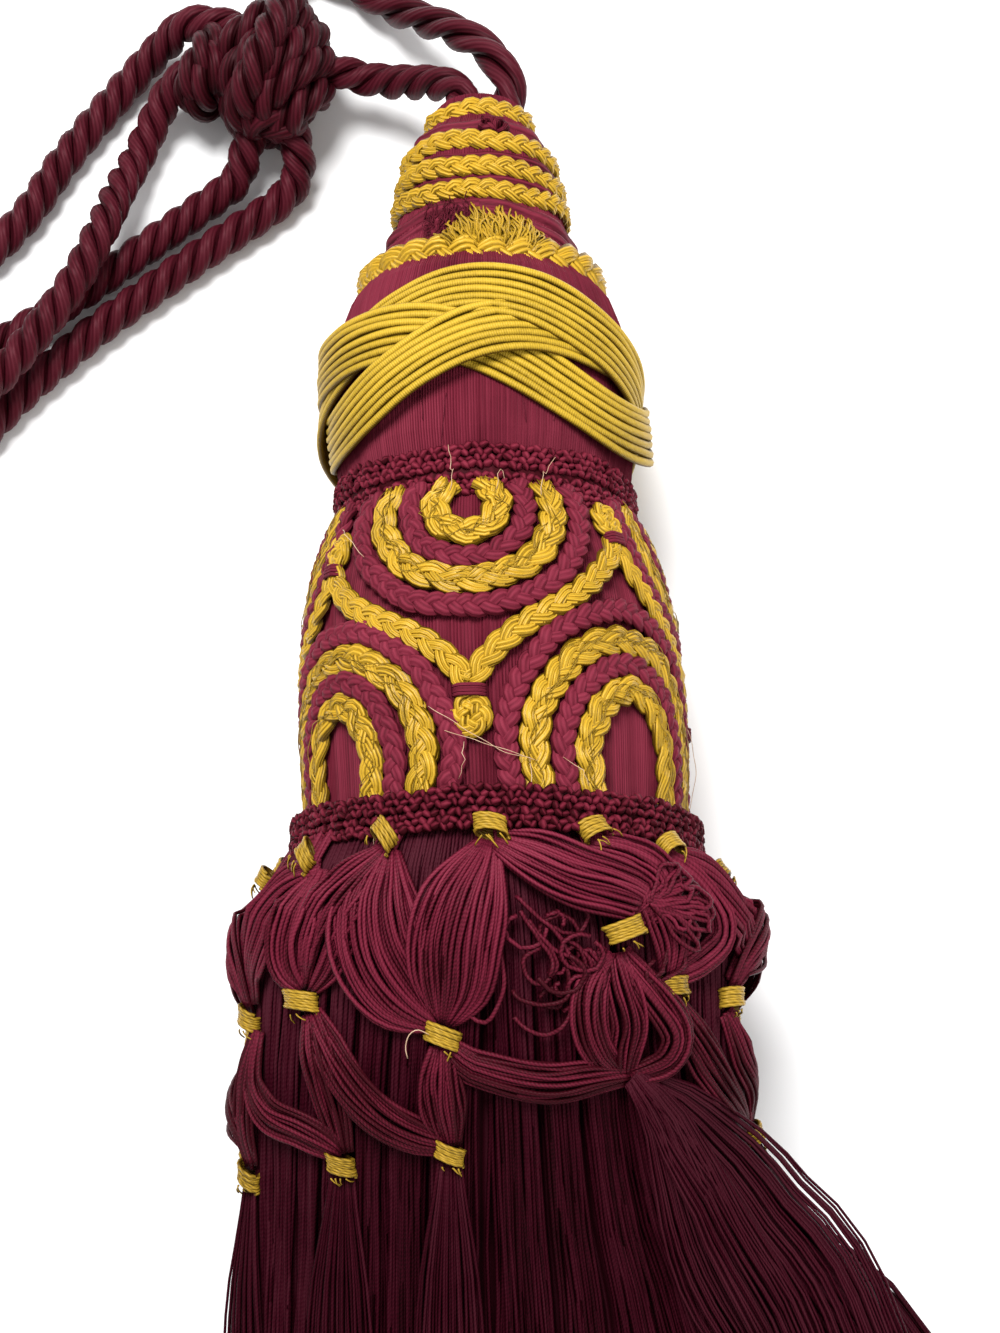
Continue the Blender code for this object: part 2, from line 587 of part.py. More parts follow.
def bundle(bm, spot, tie, start, other, end, side):
    """Half a bundle, from under one tie to above the next, swelling in its middle."""
    goal = nearest_turn(tie["angle"], other["angle"])
    half = tie_half_angle()
    before = list(start)
    for k in range(1, BUNDLE_STEPS + 1):
        t = k / BUNDLE_STEPS
        if k == BUNDLE_STEPS:
            after = list(end)
        else:
            y = lerp(tie["y1"], other["y0"], t)
            ease = t * t * (3 - 2 * t)
            near = tie["angle"] + half * BUNDLE_EASE * side
            far = goal - half * BUNDLE_EASE * side
            middle = lerp(near, far, ease)
            wide = half * BUNDLE_EASE + BUNDLE_SWELL * math.sin(math.pi * t)
            lowest = min(tie["angle"], goal) + BUNDLE_PARTING
            highest = max(tie["angle"], goal) - BUNDLE_PARTING
            after = [spot(max(middle - wide, lowest), y, BUNDLE_RAISE),
                     spot(min(middle + wide, highest), y, BUNDLE_RAISE)]
        bm.faces.new((before[0], after[0], after[1], before[1]))
        before = after


def tail(bm, spot, tie, half):
    """Loose ends below the last row of ties, in two locks."""
    for side, edge in ((-1, tie["foot"][0:2]), (1, tie["foot"][1:3])):
        middle = tie["angle"] + side * half * TAIL_SPREAD
        after = [spot(middle + way * half * TAIL_HALF_W, TAIL_TO) for way in (-1, 1)]
        bm.faces.new((edge[0], after[0], after[1], edge[1]))


def smooth_route(points, step, fine=8):
    """Even steps along a smooth curve through the route's own points."""
    dense = []
    for i in range(len(points) - 1):
        p0, p1 = points[max(i - 1, 0)], points[i]
        p2, p3 = points[i + 1], points[min(i + 2, len(points) - 1)]
        for k in range(fine):
            t = k / fine
            dense.append(0.5 * ((2 * p1) + (p2 - p0) * t + (2 * p0 - 5 * p1 + 4 * p2 - p3) * t * t
                                + (3 * p1 - p0 - 3 * p2 + p3) * t * t * t))
    dense.append(points[-1])
    return along(dense, step)


def rope(name, points, parent):
    """Three-strand rope: a three-lobed section carried along the route and turned as it goes."""
    route = smooth_route([Vector(point) for point in points], ROPE_PITCH / ROPE_STEPS)
    ahead = (route[1] - route[0]).normalized()
    side = ahead.orthogonal().normalized()
    rings, turn = [], 0.0
    for k, place in enumerate(route):
        run = (route[min(k + 1, len(route) - 1)] - route[max(k - 1, 0)]).normalized()
        side = (side - run * side.dot(run)).normalized()
        up = run.cross(side)
        ring = []
        for i in range(6):
            angle = math.radians(60.0 * i) - turn
            radius = ROPE_R if i % 2 == 0 else ROPE_R * ROPE_GROOVE
            ring.append(place + side * (radius * math.cos(angle)) + up * (radius * math.sin(angle)))
        rings.append(ring)
        turn += 2 * math.pi / ROPE_STEPS
    loft(name, rings, False, "burgundy_rope", parent)


def knot(parent):
    """Wound ball of rope, with the main turns raised on it, resting on a flat spot."""
    bpy.ops.mesh.primitive_uv_sphere_add(segments=KNOT_AROUND, ring_count=KNOT_ALONG, radius=1.0)
    ball = bpy.context.object
    for vert in ball.data.vertices:
        way = vert.co.normalized()
        spin = math.atan2(way.y, way.x)
        wave = math.cos(KNOT_TURNS * spin + KNOT_SLANT * math.pi * way.z)
        swell = 1.0 + KNOT_RIDGE * wave * math.sqrt(max(0.0, 1.0 - way.z * way.z))
        place = Vector((way.z * KNOT_HALF[0], way.x * KNOT_HALF[1], way.y * KNOT_HALF[2])) * swell
        place += Vector(KNOT_AT)
        place.z = max(place.z, 0.0)
        vert.co = place * MM
    mesh = ball.data.copy()
    old = ball.data
    bpy.data.objects.remove(ball)
    bpy.data.meshes.remove(old)
    mesh.shade_smooth()
    add_body("rope_knot", mesh, "burgundy_rope", parent)


def main():
    for existing in list(bpy.data.objects):
        bpy.data.objects.remove(existing)
    collection = bpy.data.collections.new("tieback_tassel")
    bpy.context.scene.collection.children.link(collection)

    floor_frame = add_empty("floor_frame", None, (AXIS_X, BARREL_Y, 0.0))
    head_axis = add_empty("head_axis", floor_frame, (0.0, 0.0, AXIS_HEIGHT), -(math.pi / 2.0 + TILT))

    turned("neck", NECK, "burgundy_thread", head_axis)
    turned("bell", BELL, "burgundy_thread", head_axis)
    turned("barrel", BARREL, "burgundy_thread", head_axis)
    neck_plaits(head_axis)
    woven_band(head_axis)
    for name, sizes in TRIMS.items():
        trim(name, parent=head_axis, **sizes)
    barrel_plaits(head_axis)
    zigzag_plait(head_axis)
    fringe(floor_frame)
    net(floor_frame)
    for name, points in ROPES.items():
        rope(name, points, floor_frame)
    knot(floor_frame)


main()
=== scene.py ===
"""Looks of a curtain tieback tassel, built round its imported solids.

The tassel lies on a table: a turned head in three moulds covered with thread, plaits and crochet, a long
fringe under a netted skirt of bound bundles, and the knotted rope of the tieback. Lengths are in millimetres
and angles in degrees, apart from the properties of the add-on, which are in metres as Blender keeps them.
"""

import math

import bpy
import numpy as np
from mathutils import Matrix, Vector


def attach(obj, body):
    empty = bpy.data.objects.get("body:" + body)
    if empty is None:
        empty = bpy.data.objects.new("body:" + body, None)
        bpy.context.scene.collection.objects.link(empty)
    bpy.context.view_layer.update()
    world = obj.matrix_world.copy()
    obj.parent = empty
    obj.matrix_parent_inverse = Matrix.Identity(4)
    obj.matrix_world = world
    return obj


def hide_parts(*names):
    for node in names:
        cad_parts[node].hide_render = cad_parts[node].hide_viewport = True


bl_info = {
    "name": "Curtain tieback tassel",
    "version": (1, 0, 0),
    "blender": (4, 5, 0),
    "location": "View3D > Sidebar > Tassel",
    "description": "Dresses the solids of a tieback tassel in thread, plaits, gimp, fringe and rope",
    "category": "Add Mesh",
}

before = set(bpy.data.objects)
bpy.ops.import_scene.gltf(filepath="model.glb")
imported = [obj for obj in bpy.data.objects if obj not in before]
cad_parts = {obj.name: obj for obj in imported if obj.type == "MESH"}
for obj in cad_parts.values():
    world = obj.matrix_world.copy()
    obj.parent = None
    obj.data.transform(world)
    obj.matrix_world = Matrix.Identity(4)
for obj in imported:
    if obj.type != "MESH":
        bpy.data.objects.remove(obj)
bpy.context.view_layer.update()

MM = 0.001

# ------------------------------------------------------------
# Places shared with the solids

TRIM_R, TRIM_S = 42.0, 4.0
BAND_R, BAND_S = 36.0, 96.0
REST_FLAT = 0.4
TILT = math.atan2(TRIM_R - BAND_R, BAND_S - TRIM_S)
AXIS_HEIGHT = TRIM_R * math.cos(TILT) + TRIM_S * math.sin(TILT) - REST_FLAT
AXIS_X, BARREL_Y = -26.2, -1.05
FLOOR_FRAME = np.array((AXIS_X, BARREL_Y, 0.0))
HEAD_AT = np.array((AXIS_X, BARREL_Y, AXIS_HEIGHT))
HEAD_TURN = np.array(Matrix.Rotation(-(math.pi / 2.0 + TILT), 3, "X"))
# The covers sit a little askew on the head: station, drift to the side
ASKEW_S, ASKEW_X = (0.0, 65.0, 150.0), (2.4, 0.0, -1.5)

# Moulds under their thread: rows of (station along the axis, radius), from the top down
NECK = ((161.8, 9.6), (158, 10.4), (154.5, 12.4), (151, 14.6), (145, 16.6), (139, 17.5), (133, 18.3),
        (128.3, 19.8), (124, 21.4), (121, 22.4))
BELL = ((120.8, 22.6), (117.5, 25.2), (113, 28.4), (109, 29.8), (105, 30.6), (97, 31.4), (87, 31.6),
        (82, 31.5), (76, 31), (71, 30), (65.6, 28.6))
BARREL = ((65.3, 28.6), (63.2, 30.2), (60, 31.8), (56, 33.2), (52, 34.4), (42, 36.3), (31, 37),
          (23, 37.1), (15, 36.9), (8, 36.6), (0.3, 36.3))
ALL_MOULDS = NECK + BELL + BARREL + ((-12, 38.5),)
# Threads round each mould, how far they stand out, and how far their cover swells
THREADS_AROUND = {"neck": 150, "bell": 340, "barrel": 380}
THREAD_RELIEF, COVER_SWELL = 0.11, 0.10

# Gold plaits wound round the neck: station, radius of the seat
NECK_PLAITS = ((156.8, 9.8), (146.4, 15.1), (139.9, 16.4), (134.2, 17.2), (116.6, 23.9))
# Burgundy cords between them: station, radius of the cord's middle, half its girth, how far its sides hang
NECK_CORDS = ((151.2, 14, 1.5, 0), (143.1, 16.4, 1.15, 0.6), (137, 17.4, 1.15, 0.6),
              (130.4, 18.5, 1.9, 4.2), (127.6, 19.3, 1.5, 4.6))
# How much farther up the windings sit at the back than at the front
WINDING_LEAN = 3.0
# Curls of slack cord under the first plait: how many, station, distance from the axis, girth
CURLS, CURL_S, CURL_R, CURL_GIRTH = 9, 150.8, 15.4, 0.60

# Woven band on the bell: station of its middle and the sizes of its waves
BAND_S_WAVES = (96.4, 8.5, -1.7, 0.8)
# How far a lead climbs over another, how much it rolls, its height on the bell, how gently it climbs
BAND_LIFT, BAND_ROLL, BAND_SEAT, BAND_WEAVE_EASE = 1.15, 0.60, 0.45, 0.80
BAND_LEADS, BAND_BIGHTS, BAND_FRONT, BAND_STEPS = 3, 4, -5.0, 440
# It is drawn wider at the front than at the back, and hangs lower at the sides
BAND_SPREAD, BAND_DROP = 10.0, 7.0
# Gimp cords in a lead, their pitch, half the girth of one
GIMP_CORDS, GIMP_PITCH, GIMP_R = 7, 1.66, 0.90

# Crochet trims: stations of the rows of stitches, radius of the seat, stitches round, edges of the ground
TRIM_ROWS = {
    "bell_trim": dict(stations=(71.4, 70.1, 68.8, 67.6, 65.4, 64.1, 62.9, 61.8), seat=29.5, stitches=128,
                      edge=(61.2, 72)),
    "barrel_trim": dict(stations=(1, -0.3, -1.6, -3.3, -4.6, -5.6), seat=39.2, stitches=168,
                        edge=(-6, 1.6)),
}

# Plaits laid on the barrel. Places run round it as arc lengths at this radius
GIRTH_R = 39.0
# Sets that hang under the bell's trim: angles, station of their middle, station where they start
TOP_SET_AT, TOP_SET_S, TOP_SET_FROM = (-6.5, 89.5, 175.0, 263.0), 59.4, 63.6
# Members of a set: kind, its size in the solid's name, half its width, station of its far side
TOP_SET = (("gold", 9, 7.3, 52), ("wine", 14, 13.5, 46.7), ("gold", 18, 20, 42.2),
           ("wine", 23, 26.2, 36.8))
# Arches that stand on the barrel's trim: the same facts
ARCH_AT, ARCH_S, ARCH_FROM = (-51.5, 44.0, 133.0, 217.5), 8.0, 0.8
ARCH_SETS = (
    (("gold", 10, 9.2, 20.6), ("wine", 15, 14.8, 25.2), ("gold", 20, 21.2, 29.6), ("wine", 24, 27.2, 34.8)),
    (("gold", 10, 11.2, 23), ("wine", 15, 16.8, 27.8), ("gold", 20, 22.4, 32.6), ("wine", 24, 28, 38.4)),
    (("gold", 10, 9.8, 21.6), ("wine", 15, 15.2, 26.4), ("gold", 20, 21, 31.2), ("wine", 24, 26.6, 36)),
    (("gold", 10, 10.4, 22.4), ("wine", 15, 16, 27.2), ("gold", 20, 21.8, 31.6), ("wine", 24, 27.2, 36.6)),
)
# How far the ends of each member are drawn in
TOP_DRAWN_IN, ARCH_DRAWN_IN = (3.6, 1.6, 1.6, 1.6), (0.6, 0.9, 1.3, 1.7)
# Half of one wave of the zigzag plait: degrees from the foot of the V, station
ZIGZAG = ((0, 21.4), (2.4, 24.2), (5, 27), (10, 30.8), (16, 34.2), (22, 37.1), (28, 40), (34, 43.4),
          (39.5, 47.4), (43, 50.8), (45, 54.4))
# How much lower the ears are than the highest one, from the right front ear round
EAR_DROPS = (0.0, 2.0, 1.0, 5.0)
# How far aside of the middle between two feet each ear stands, in degrees
EAR_ASIDE = (3.0, 0.0, 0.0, -4.3)
# Small loops at the feet and the ears: their stations, half width and half length; station of a foot's
# binding, and how far under an ear its binding is
DROP_S, EAR_S, LOOP_HALF = 15.6, 57.6, (2.15, 2.45)
FOOT_BOUND_S, EAR_BOUND_UNDER = 20.3, 4.2

# Outline of the skirt where it lies: distance along the floor from the barrel's foot, reach to the left and
# to the right of the axis, height of its top
SKIRT = ((-0.3, 38.5, 41, 81.6), (-10, 44, 49.5, 83.6), (-20, 48, 53.5, 84), (-45, 49.2, 53, 77),
         (-60, 50, 55, 69), (-75, 50.5, 65, 61), (-91, 51.5, 82, 53), (-120, 51.5, 102.5, 40),
         (-162, 50, 112, 26))
# How square its section grows, and by where
SKIRT_SQUARE, SQUARE_BY = 2.5, -60.0
# Where the lean of the head starts to fade out of the skirt, and where it has gone
LEAN_FADES = (-20.0, -60.0)
# The fringe is this share shorter where it is fanned out to the right
FRINGE_LENGTH, FAN_SHORTER = 160.0, 0.10
# Shells of the fringe: share of the way out, strands, how far under the net
FRINGE_SHELLS = ((1, 640, 3.2), (0.95, 420, 3.8))
# How much closer the strands lie on top than underneath, and the degrees in which they clump
FRINGE_CROWDED, CLUMP = 0.35, 9.0
# The mass inside: share of the way out, how far under the net, how much shorter than the fringe
CORE_DEPTH, CORE_UNDER, CORE_SHORTER = 0.90, 4.4, 17.0

# Bound bundles of the net: ties in a row and angle of the first; upper and lower end of each row's ties
NET_AROUND, NET_FRONT = 14, 2.0
TIE_ROWS = ((-3, -9.5), (-36, -43), (-62, -69))
# Ties of each row: width, thickness, turns of thread, how far over the skirt they stand
TIE_SIZES = ((6, 3.9, 6, 0.2), (7.2, 4.3, 7, -1.4), (5.6, 3.9, 7, -1.4))
# Half the girth of the binding thread, of its cut ends and of the end that curls away
TIE_THREAD, TIE_END_R, LOOSE_END_R = 0.38, 0.16, 0.10
# How much higher the displaced tie, (row, place), rides than its row
RAISED_TIES = {(1, 0): 2.2}
# The threads of a bundle are this many times more than its table says, and finer to match
THREADS_FINER = 1.5
# Width of a bundle at its ties, and how far under the skirt's outline it is there
BUNDLE_NECK, BUNDLE_SEAT = 4.2, -1.9
# Ties out of their row: (row, place) and the tie's angle, middle and lean
PLACED_TIES = {
    (0, 11): (-88, -9.5, 0), (0, 12): (-49.5, -9, -24), (0, 13): (-25, -6.8, -24),
    (0, 0): (1.5, -5.8, 6), (0, 1): (27, -5.7, 18), (0, 2): (49, -7.2, 12),
    (0, 3): (94, -8, 0), (1, 10): (-102, -40, 0), (1, 11): (-71, -37.6, 2),
    (1, 12): (-43, -35.3, 16), (1, 13): (-6.5, -41.8, -4), (1, 0): (27.5, -23.8, 24),
    (1, 1): (41, -32.8, 10), (1, 2): (65, -34, 6), (1, 3): (106, -38, 0),
    (2, 11): (-66, -66.9, 0), (2, 12): (-28, -63.9, 8), (2, 13): (-4.5, -61.7, -6),
    (2, 2): (79, -59, 18), (2, 3): (104, -64, 0),
}
# Ties that the loose sweep covers
HIDDEN_TIES = ((2, 0), (2, 1))
# Bundles at the front, from tie to tie: (angle, y) by steps, threads, greatest width, how high they ride
FRONT_BUNDLES = (
    (((-44.5, -12), (-55, -15), (-63, -22), (-69.5, -28.5), (-68.5, -35)), 15, 14, 0.4),
    (((-44, -12), (-43.5, -18), (-45.5, -24.5), (-45.5, -29.5), (-43, -33)), 14, 13, 1),
    (((-24, -9.5), (-28, -15), (-34, -22), (-38.5, -28.5), (-42, -33)), 14, 13, 0.6),
    (((-23.5, -9.5), (-22.5, -19), (-19.5, -27.5), (-13, -35), (-7.5, -39.5)), 24, 20, 1.2),
    (((1, -8.5), (-2.5, -17.5), (-4.5, -26), (-5, -34), (-6.5, -39.5)), 21, 17, 2),
    (((2.5, -8), (10, -11), (18, -14.5), (26.5, -16.5), (33.5, -18.5), (30, -21)), 14, 11.5, 2.4),
    (((25.5, -7.5), (32, -8.5), (38.5, -11), (41, -15), (37.5, -19), (31.5, -21.5)), 9, 7, 1.6),
    (((26, -8), (33, -12), (37.5, -19), (41, -25.5), (40.5, -31)), 10, 9, 0),
    (((47, -9), (52.5, -12.5), (56, -19), (56, -24), (49, -28.5), (42, -31)), 10, 6.5, 1.2),
    (((49, -8.5), (60, -12), (68.5, -18.5), (75, -24.5), (65.5, -31.5)), 16, 13, 0.6),
    (((25.5, -27.5), (20, -33), (18.5, -38.5), (20.5, -44), (26, -48)), 9, 7, 1.6),
    (((26.5, -27.5), (26.5, -33), (28, -39.5), (27, -44), (27, -48)), 7, 7, 1),
    (((28, -27.5), (34, -34.5), (39, -41), (36.5, -46), (28.5, -48.5)), 10, 7, 2),
    (((-5.5, -43.5), (-1, -47), (5, -49), (11, -49.5), (19.5, -48.5), (28, -48)), 12, 8.5, 1),
    (((-6.5, -43.5), (-6.5, -49), (-5.5, -55), (-4.5, -60)), 11, 8, 0.2),
    (((-40, -37.5), (-36, -44), (-31, -52.5), (-28, -61.5)), 11, 8, 0.2),
    (((-39.5, -37.5), (-32, -44), (-24.5, -50.5), (-16.5, -56), (-9.5, -59), (-5, -60)), 10, 8, 0.8),
    (((-63.5, -40), (-62, -48.5), (-51.5, -54.5), (-39.5, -57.5), (-32, -60), (-28.5, -62)), 10, 8, 0.8),
    (((-66, -40), (-68, -49), (-68, -58), (-66, -64.5)), 10, 8, 0.2),
    (((63, -36.5), (69, -43.5), (78, -50.5), (79, -57)), 10, 8, 0.2),
    (((41, -35), (47, -42), (57, -50), (72, -57)), 9, 8, 0.2),
)
# End of binding thread that curls away from the middle tie: angle, y, height over the skirt
LOOSE_END = ((-8.5, -41.5, 0.9), (-10.6, -40.7, 1.4), (-12.2, -41.6, 1.5), (-12.8, -43.6, 1.2),
             (-12.4, -45.4, 0.8))

# Loose sweeps under the gathered end of the swag, over the fringe: facts as for the bundles
SWEEPS = (
    (((28, -48.5), (40, -55.5), (51, -67), (54, -81), (52, -96.5), (50, -120), (49, -145)), 26, 30, -0.8),
    (((28.5, -48.5), (36, -57.5), (38, -70.5), (37.5, -85.5), (39, -98), (40, -120), (40, -147)),
     16, 20, -0.6),
)
# Cords that have worked loose by the displaced tie: runs of (angle, y)
SLACK_RUNS = (
    ((6, -18.5), (9, -21.5), (13.5, -25), (16, -29), (19, -33)),
    ((6.5, -21), (9.5, -25.5), (12, -29), (11, -32), (13, -29.5), (10.5, -25)),
    ((10, -27), (6.5, -29), (7.5, -32.5), (10, -33), (12.5, -31)),
    ((4.5, -34), (5.5, -35.5), (9.5, -36.5), (14, -35.5), (15, -32), (14.5, -27)),
    ((4.5, -38.5), (6.5, -40.5), (9.5, -41.5), (12.5, -40.5), (15, -37.5), (15.5, -33)),
    ((15.5, -26), (18, -27.5), (18.5, -30.5), (16, -29.5), (15, -27)),
    ((14, -25.5), (17, -26.5), (19.5, -29), (20, -32), (17.5, -33.5)),
    ((-2, -38), (0, -39.5), (1.5, -37.5), (3, -33), (2.5, -27.5)),
    ((39.5, -25.5), (37.5, -29), (33, -32.5), (32.5, -30.5), (35.5, -28.5)),
    ((44.5, -26), (42.5, -29.5), (37.5, -31.5), (33, -33)),
    ((8, -22.5), (12, -27), (17, -29.5), (18.5, -34), (14, -37.5)),
    ((20, -27), (22.5, -31), (20.5, -35), (17.5, -32.5)),
)
# Bows where the gathered cords bend back behind that tie: reach to the side, reach up, width
BOWS_AT = (34.0, -18.8)
BOWS = ((9, 6, 4.4), (11, 4, 5), (12, 1.5, 5.2), (12.4, -1.2, 4.6), (11, -3.6, 4.6), (9.6, -5.8, 4),
        (7.6, -7.4, 4), (6.6, 7.2, 3.6), (5.6, 3, 3.4), (7, -3.8, 3.4), (8.4, 2.6, 4), (10, -0.6, 3.6))
# Girth of a slack cord as a share of a net cord's
SLACK_SHARE = 0.76

# Rope of three strands laid to the left: distance of a strand from the middle, half its girth
ROPE_LAY_R, STRAND_R = 2.2, 1.95
# Length of one turn of its lay in each run
ROPE_PITCHES = {"rope_leg_low": 22.0, "rope_leg_high": 36.0, "rope_loop_outer": 18.5, "rope_loop_inner": 18.0}
# Height of its middle where it lies on the table
ROPE_LIES = 4.7
# Its centrelines on the floor frame: x, y, and the height where the rope doesn't lie on the table
ROPES = {
    "rope_leg_low": (
        (-4.6, 158.5, 31.8), (-4.8, 163.6, 31), (-5.4, 167, 30.4), (-10, 171.5, 26.5), (-17, 175.3, 20),
        (-23, 177.8, 15.5), (-28.5, 179.4, 14), (-33, 180.4, 14.5), (-41, 181.8, 16), (-50, 183, 17)),
    "rope_leg_high": (
        (4.6, 158.5, 31.8), (4.8, 163.6, 31), (4.8, 169, 31.3), (1.5, 176.5, 30), (-6, 185, 24.5),
        (-15, 193.5, 15.5), (-24, 201.5, 7.6), (-34, 209.5, 4.8), (-44.5, 211.8, 5.6), (-49, 206.4, 11),
        (-50.5, 198, 15), (-50, 189, 16.5)),
    "rope_loop_outer": (
        (-57, 191, 16), (-69, 193.5, 14), (-76, 191, 9), (-84, 184.5, 4.8), (-92.6, 173.5),
        (-101, 161.5), (-109, 148.5), (-121, 136), (-150, 114), (-180, 88), (-196, 60), (-196, 38),
        (-183, 24), (-165, 27), (-148, 47), (-129.5, 75), (-113, 99.2), (-94.2, 118), (-78.3, 130.8),
        (-63.3, 142.2), (-50, 151.8, 4.8), (-44.8, 157.4, 6.6), (-44, 162.2, 10), (-45.5, 168, 13),
        (-48, 176, 15.5)),
    "rope_loop_inner": (
        (-58, 182.5, 15.5), (-70, 180.5, 13), (-74.6, 177.5, 10.4), (-78.4, 171.5, 7.6), (-82, 163, 7),
        (-85.4, 153, 10.5), (-88.2, 142, 14.6), (-94, 129, 15), (-103, 115.5, 14.8), (-114, 102, 14.6),
        (-127, 89.5, 13.8), (-139.5, 77, 9.5), (-148.5, 64.5, 5.6), (-155.5, 55), (-164.5, 50),
        (-173.5, 52.5), (-177.5, 60.5), (-175, 69.5), (-167, 78), (-150.5, 92.5), (-131, 106),
        (-111.6, 118.4), (-93.6, 130.9), (-79.6, 141.6), (-67.6, 150.9), (-59.2, 156.8, 6.6),
        (-56.6, 161.8, 9.8), (-54.5, 168.5, 12.8), (-52, 176, 15.5)),
}

# Core of the knot: middle and half sizes
KNOT_AT, KNOT_CORE = (-49.4, 180.6, 15.2), (10.2, 14.0, 10.8)
# Turns of rope on it: axis they go round, where they start, number of turns, from where to where along the
# axis, middle, half sizes
KNOT_TURNS = (
    ((-0.50, 0.84, 0.18), 200, 4.8, (-0.92, 0.92), (-49.8, 180.8, 15.2), (11.2, 14.8, 11.2)),
    ((-0.86, 0.48, 0.14), 30, 1.15, (-0.06, 0.26), (-50, 181, 15.8), (12.4, 16, 13.2)),
    ((-0.78, 0.58, 0.20), 60, 1.9, (-0.50, 0.50), (-65, 181, 13), (5.6, 7.6, 7.6)),
    ((0.20, 0.96, 0.18), 150, 1.3, (-0.30, 0.30), (-50.4, 168.4, 11.6), (5.6, 4.4, 6.6)),
)
# Their lay, and how much darker they are painted than the loops, as painted shade on the turns of the knot
KNOT_PITCH, KNOT_PAINTED_SHADE = 19.0, -0.42


# ------------------------------------------------------------
# Small geometry

def unit(vectors):
    """The same directions with a length of one."""
    return vectors / np.maximum(np.linalg.norm(vectors, axis=-1, keepdims=True), 1e-12)


def from_rows(rows, keys, column):
    """Values of a table's column at these keys; the table's first column falls from row to row."""
    table = np.array(rows[::-1])
    return np.interp(keys, table[:, 0], table[:, column])


def head_places(local):
    """Points about the head's axis put where the head lies, and kept above the floor."""
    askew = np.interp(local[..., 2], ASKEW_S, ASKEW_X)
    places = local @ HEAD_TURN.T + HEAD_AT
    places[..., 0] += askew
    places[..., 2] = np.maximum(places[..., 2], 0.0)
    return places


def on_mould(profile, angles, stations, heights):
    """Points this high over a mould and the directions straight out of it there."""
    turns = np.radians(angles)
    radii = from_rows(profile, stations, 1)
    slopes = (from_rows(profile, stations + 1.5, 1) - from_rows(profile, stations - 1.5, 1)) / 3.0
    out = unit(np.stack((np.sin(turns), -np.cos(turns), -slopes), -1))
    seat = np.stack((radii * np.sin(turns), -radii * np.cos(turns), stations), -1)
    heights = np.broadcast_to(heights, np.shape(turns))
    return head_places(seat + out * heights[..., None]), out @ HEAD_TURN.T


def ring_places(angles, radii, stations):
    """Points round the head's axis and the directions straight away from it there."""
    turns = np.radians(angles)
    radii = np.broadcast_to(radii, turns.shape)
    stations = np.broadcast_to(stations, turns.shape)
    local = np.stack((radii * np.sin(turns), -radii * np.cos(turns), stations), -1)
    out = np.stack((np.sin(turns), -np.cos(turns), np.zeros_like(turns)), -1)
    return head_places(local), out @ HEAD_TURN.T


def arc_at(angle):
    """Arc length round the barrel at this angle."""
    return math.radians(angle) * GIRTH_R


def on_barrel(arcs, stations, heights, moulds=BARREL):
    """As on_mould, from arc lengths round the barrel."""
    return on_mould(moulds, np.degrees(arcs / GIRTH_R), stations, heights)


def smooth_route(points, step):
    """Even steps along a smooth curve through a route's own points, of any number of columns."""
    points = np.array(points, float)
    padded = np.vstack((points[:1], points, points[-1:]))
    dense = []
    shares = np.linspace(0.0, 1.0, 12, endpoint=False)[:, None]
    for p0, p1, p2, p3 in zip(padded, padded[1:], padded[2:], padded[3:]):
        dense.append(0.5 * (2 * p1 + (p2 - p0) * shares + (2 * p0 - 5 * p1 + 4 * p2 - p3) * shares ** 2
                            + (3 * p1 - p0 - 3 * p2 + p3) * shares ** 3))
    dense = np.vstack(dense + [points[-1:]])
    return even_steps(dense, step)


def even_steps(path, step):
    """The same path with its points about this far apart."""
    lengths = run_lengths(path)
    count = max(4, int(round(lengths[-1] / step)))
    wanted = np.linspace(0.0, lengths[-1], count + 1)
    return np.stack([np.interp(wanted, lengths, column) for column in path.T], -1)


def run_lengths(path):
    """How far along the path each point is."""
    steps = np.linalg.norm(np.diff(path[:, :3], axis=0), axis=1)
    return np.concatenate(((0.0,), np.cumsum(steps)))


def headings(path, closed=False):
    """Direction of the path at each point."""
    if closed:
        return unit(np.roll(path, -1, 0) - np.roll(path, 1, 0))
    return unit(np.gradient(path, axis=0))


def carried_side(path):
    """A direction across the path that turns no more than the path itself does."""
    ahead = headings(path)
    start = np.cross(ahead[0], (0.0, 0.0, 1.0))
    side = start if np.linalg.norm(start) > 0.1 else np.cross(ahead[0], (1.0, 0.0, 0.0))
    sides = []
    for run in ahead:
        side = side - run * side.dot(run)
        side = side / np.linalg.norm(side)
        sides.append(side)
    return np.array(sides)


def swells(turns, *waves):
    """Sum of sine waves over turns in radians, each given as its size, its waves in a round and its phase."""
    return sum(size * np.sin(count * turns + phase) for size, count, phase in waves)


def wander(rng, count, amount, waves=3.0):
    """A slow wobble of about this size over a run of points."""
    t = np.linspace(0.0, 1.0, count)
    total = np.zeros(count)
    for share in (0.5, 1.0, 1.9):
        total += np.sin(2 * math.pi * (waves * share * t + rng.random())) * rng.uniform(0.4, 1.0)
    return total * amount / 2.0


# ------------------------------------------------------------
# Yarn: tubes gathered into one mesh

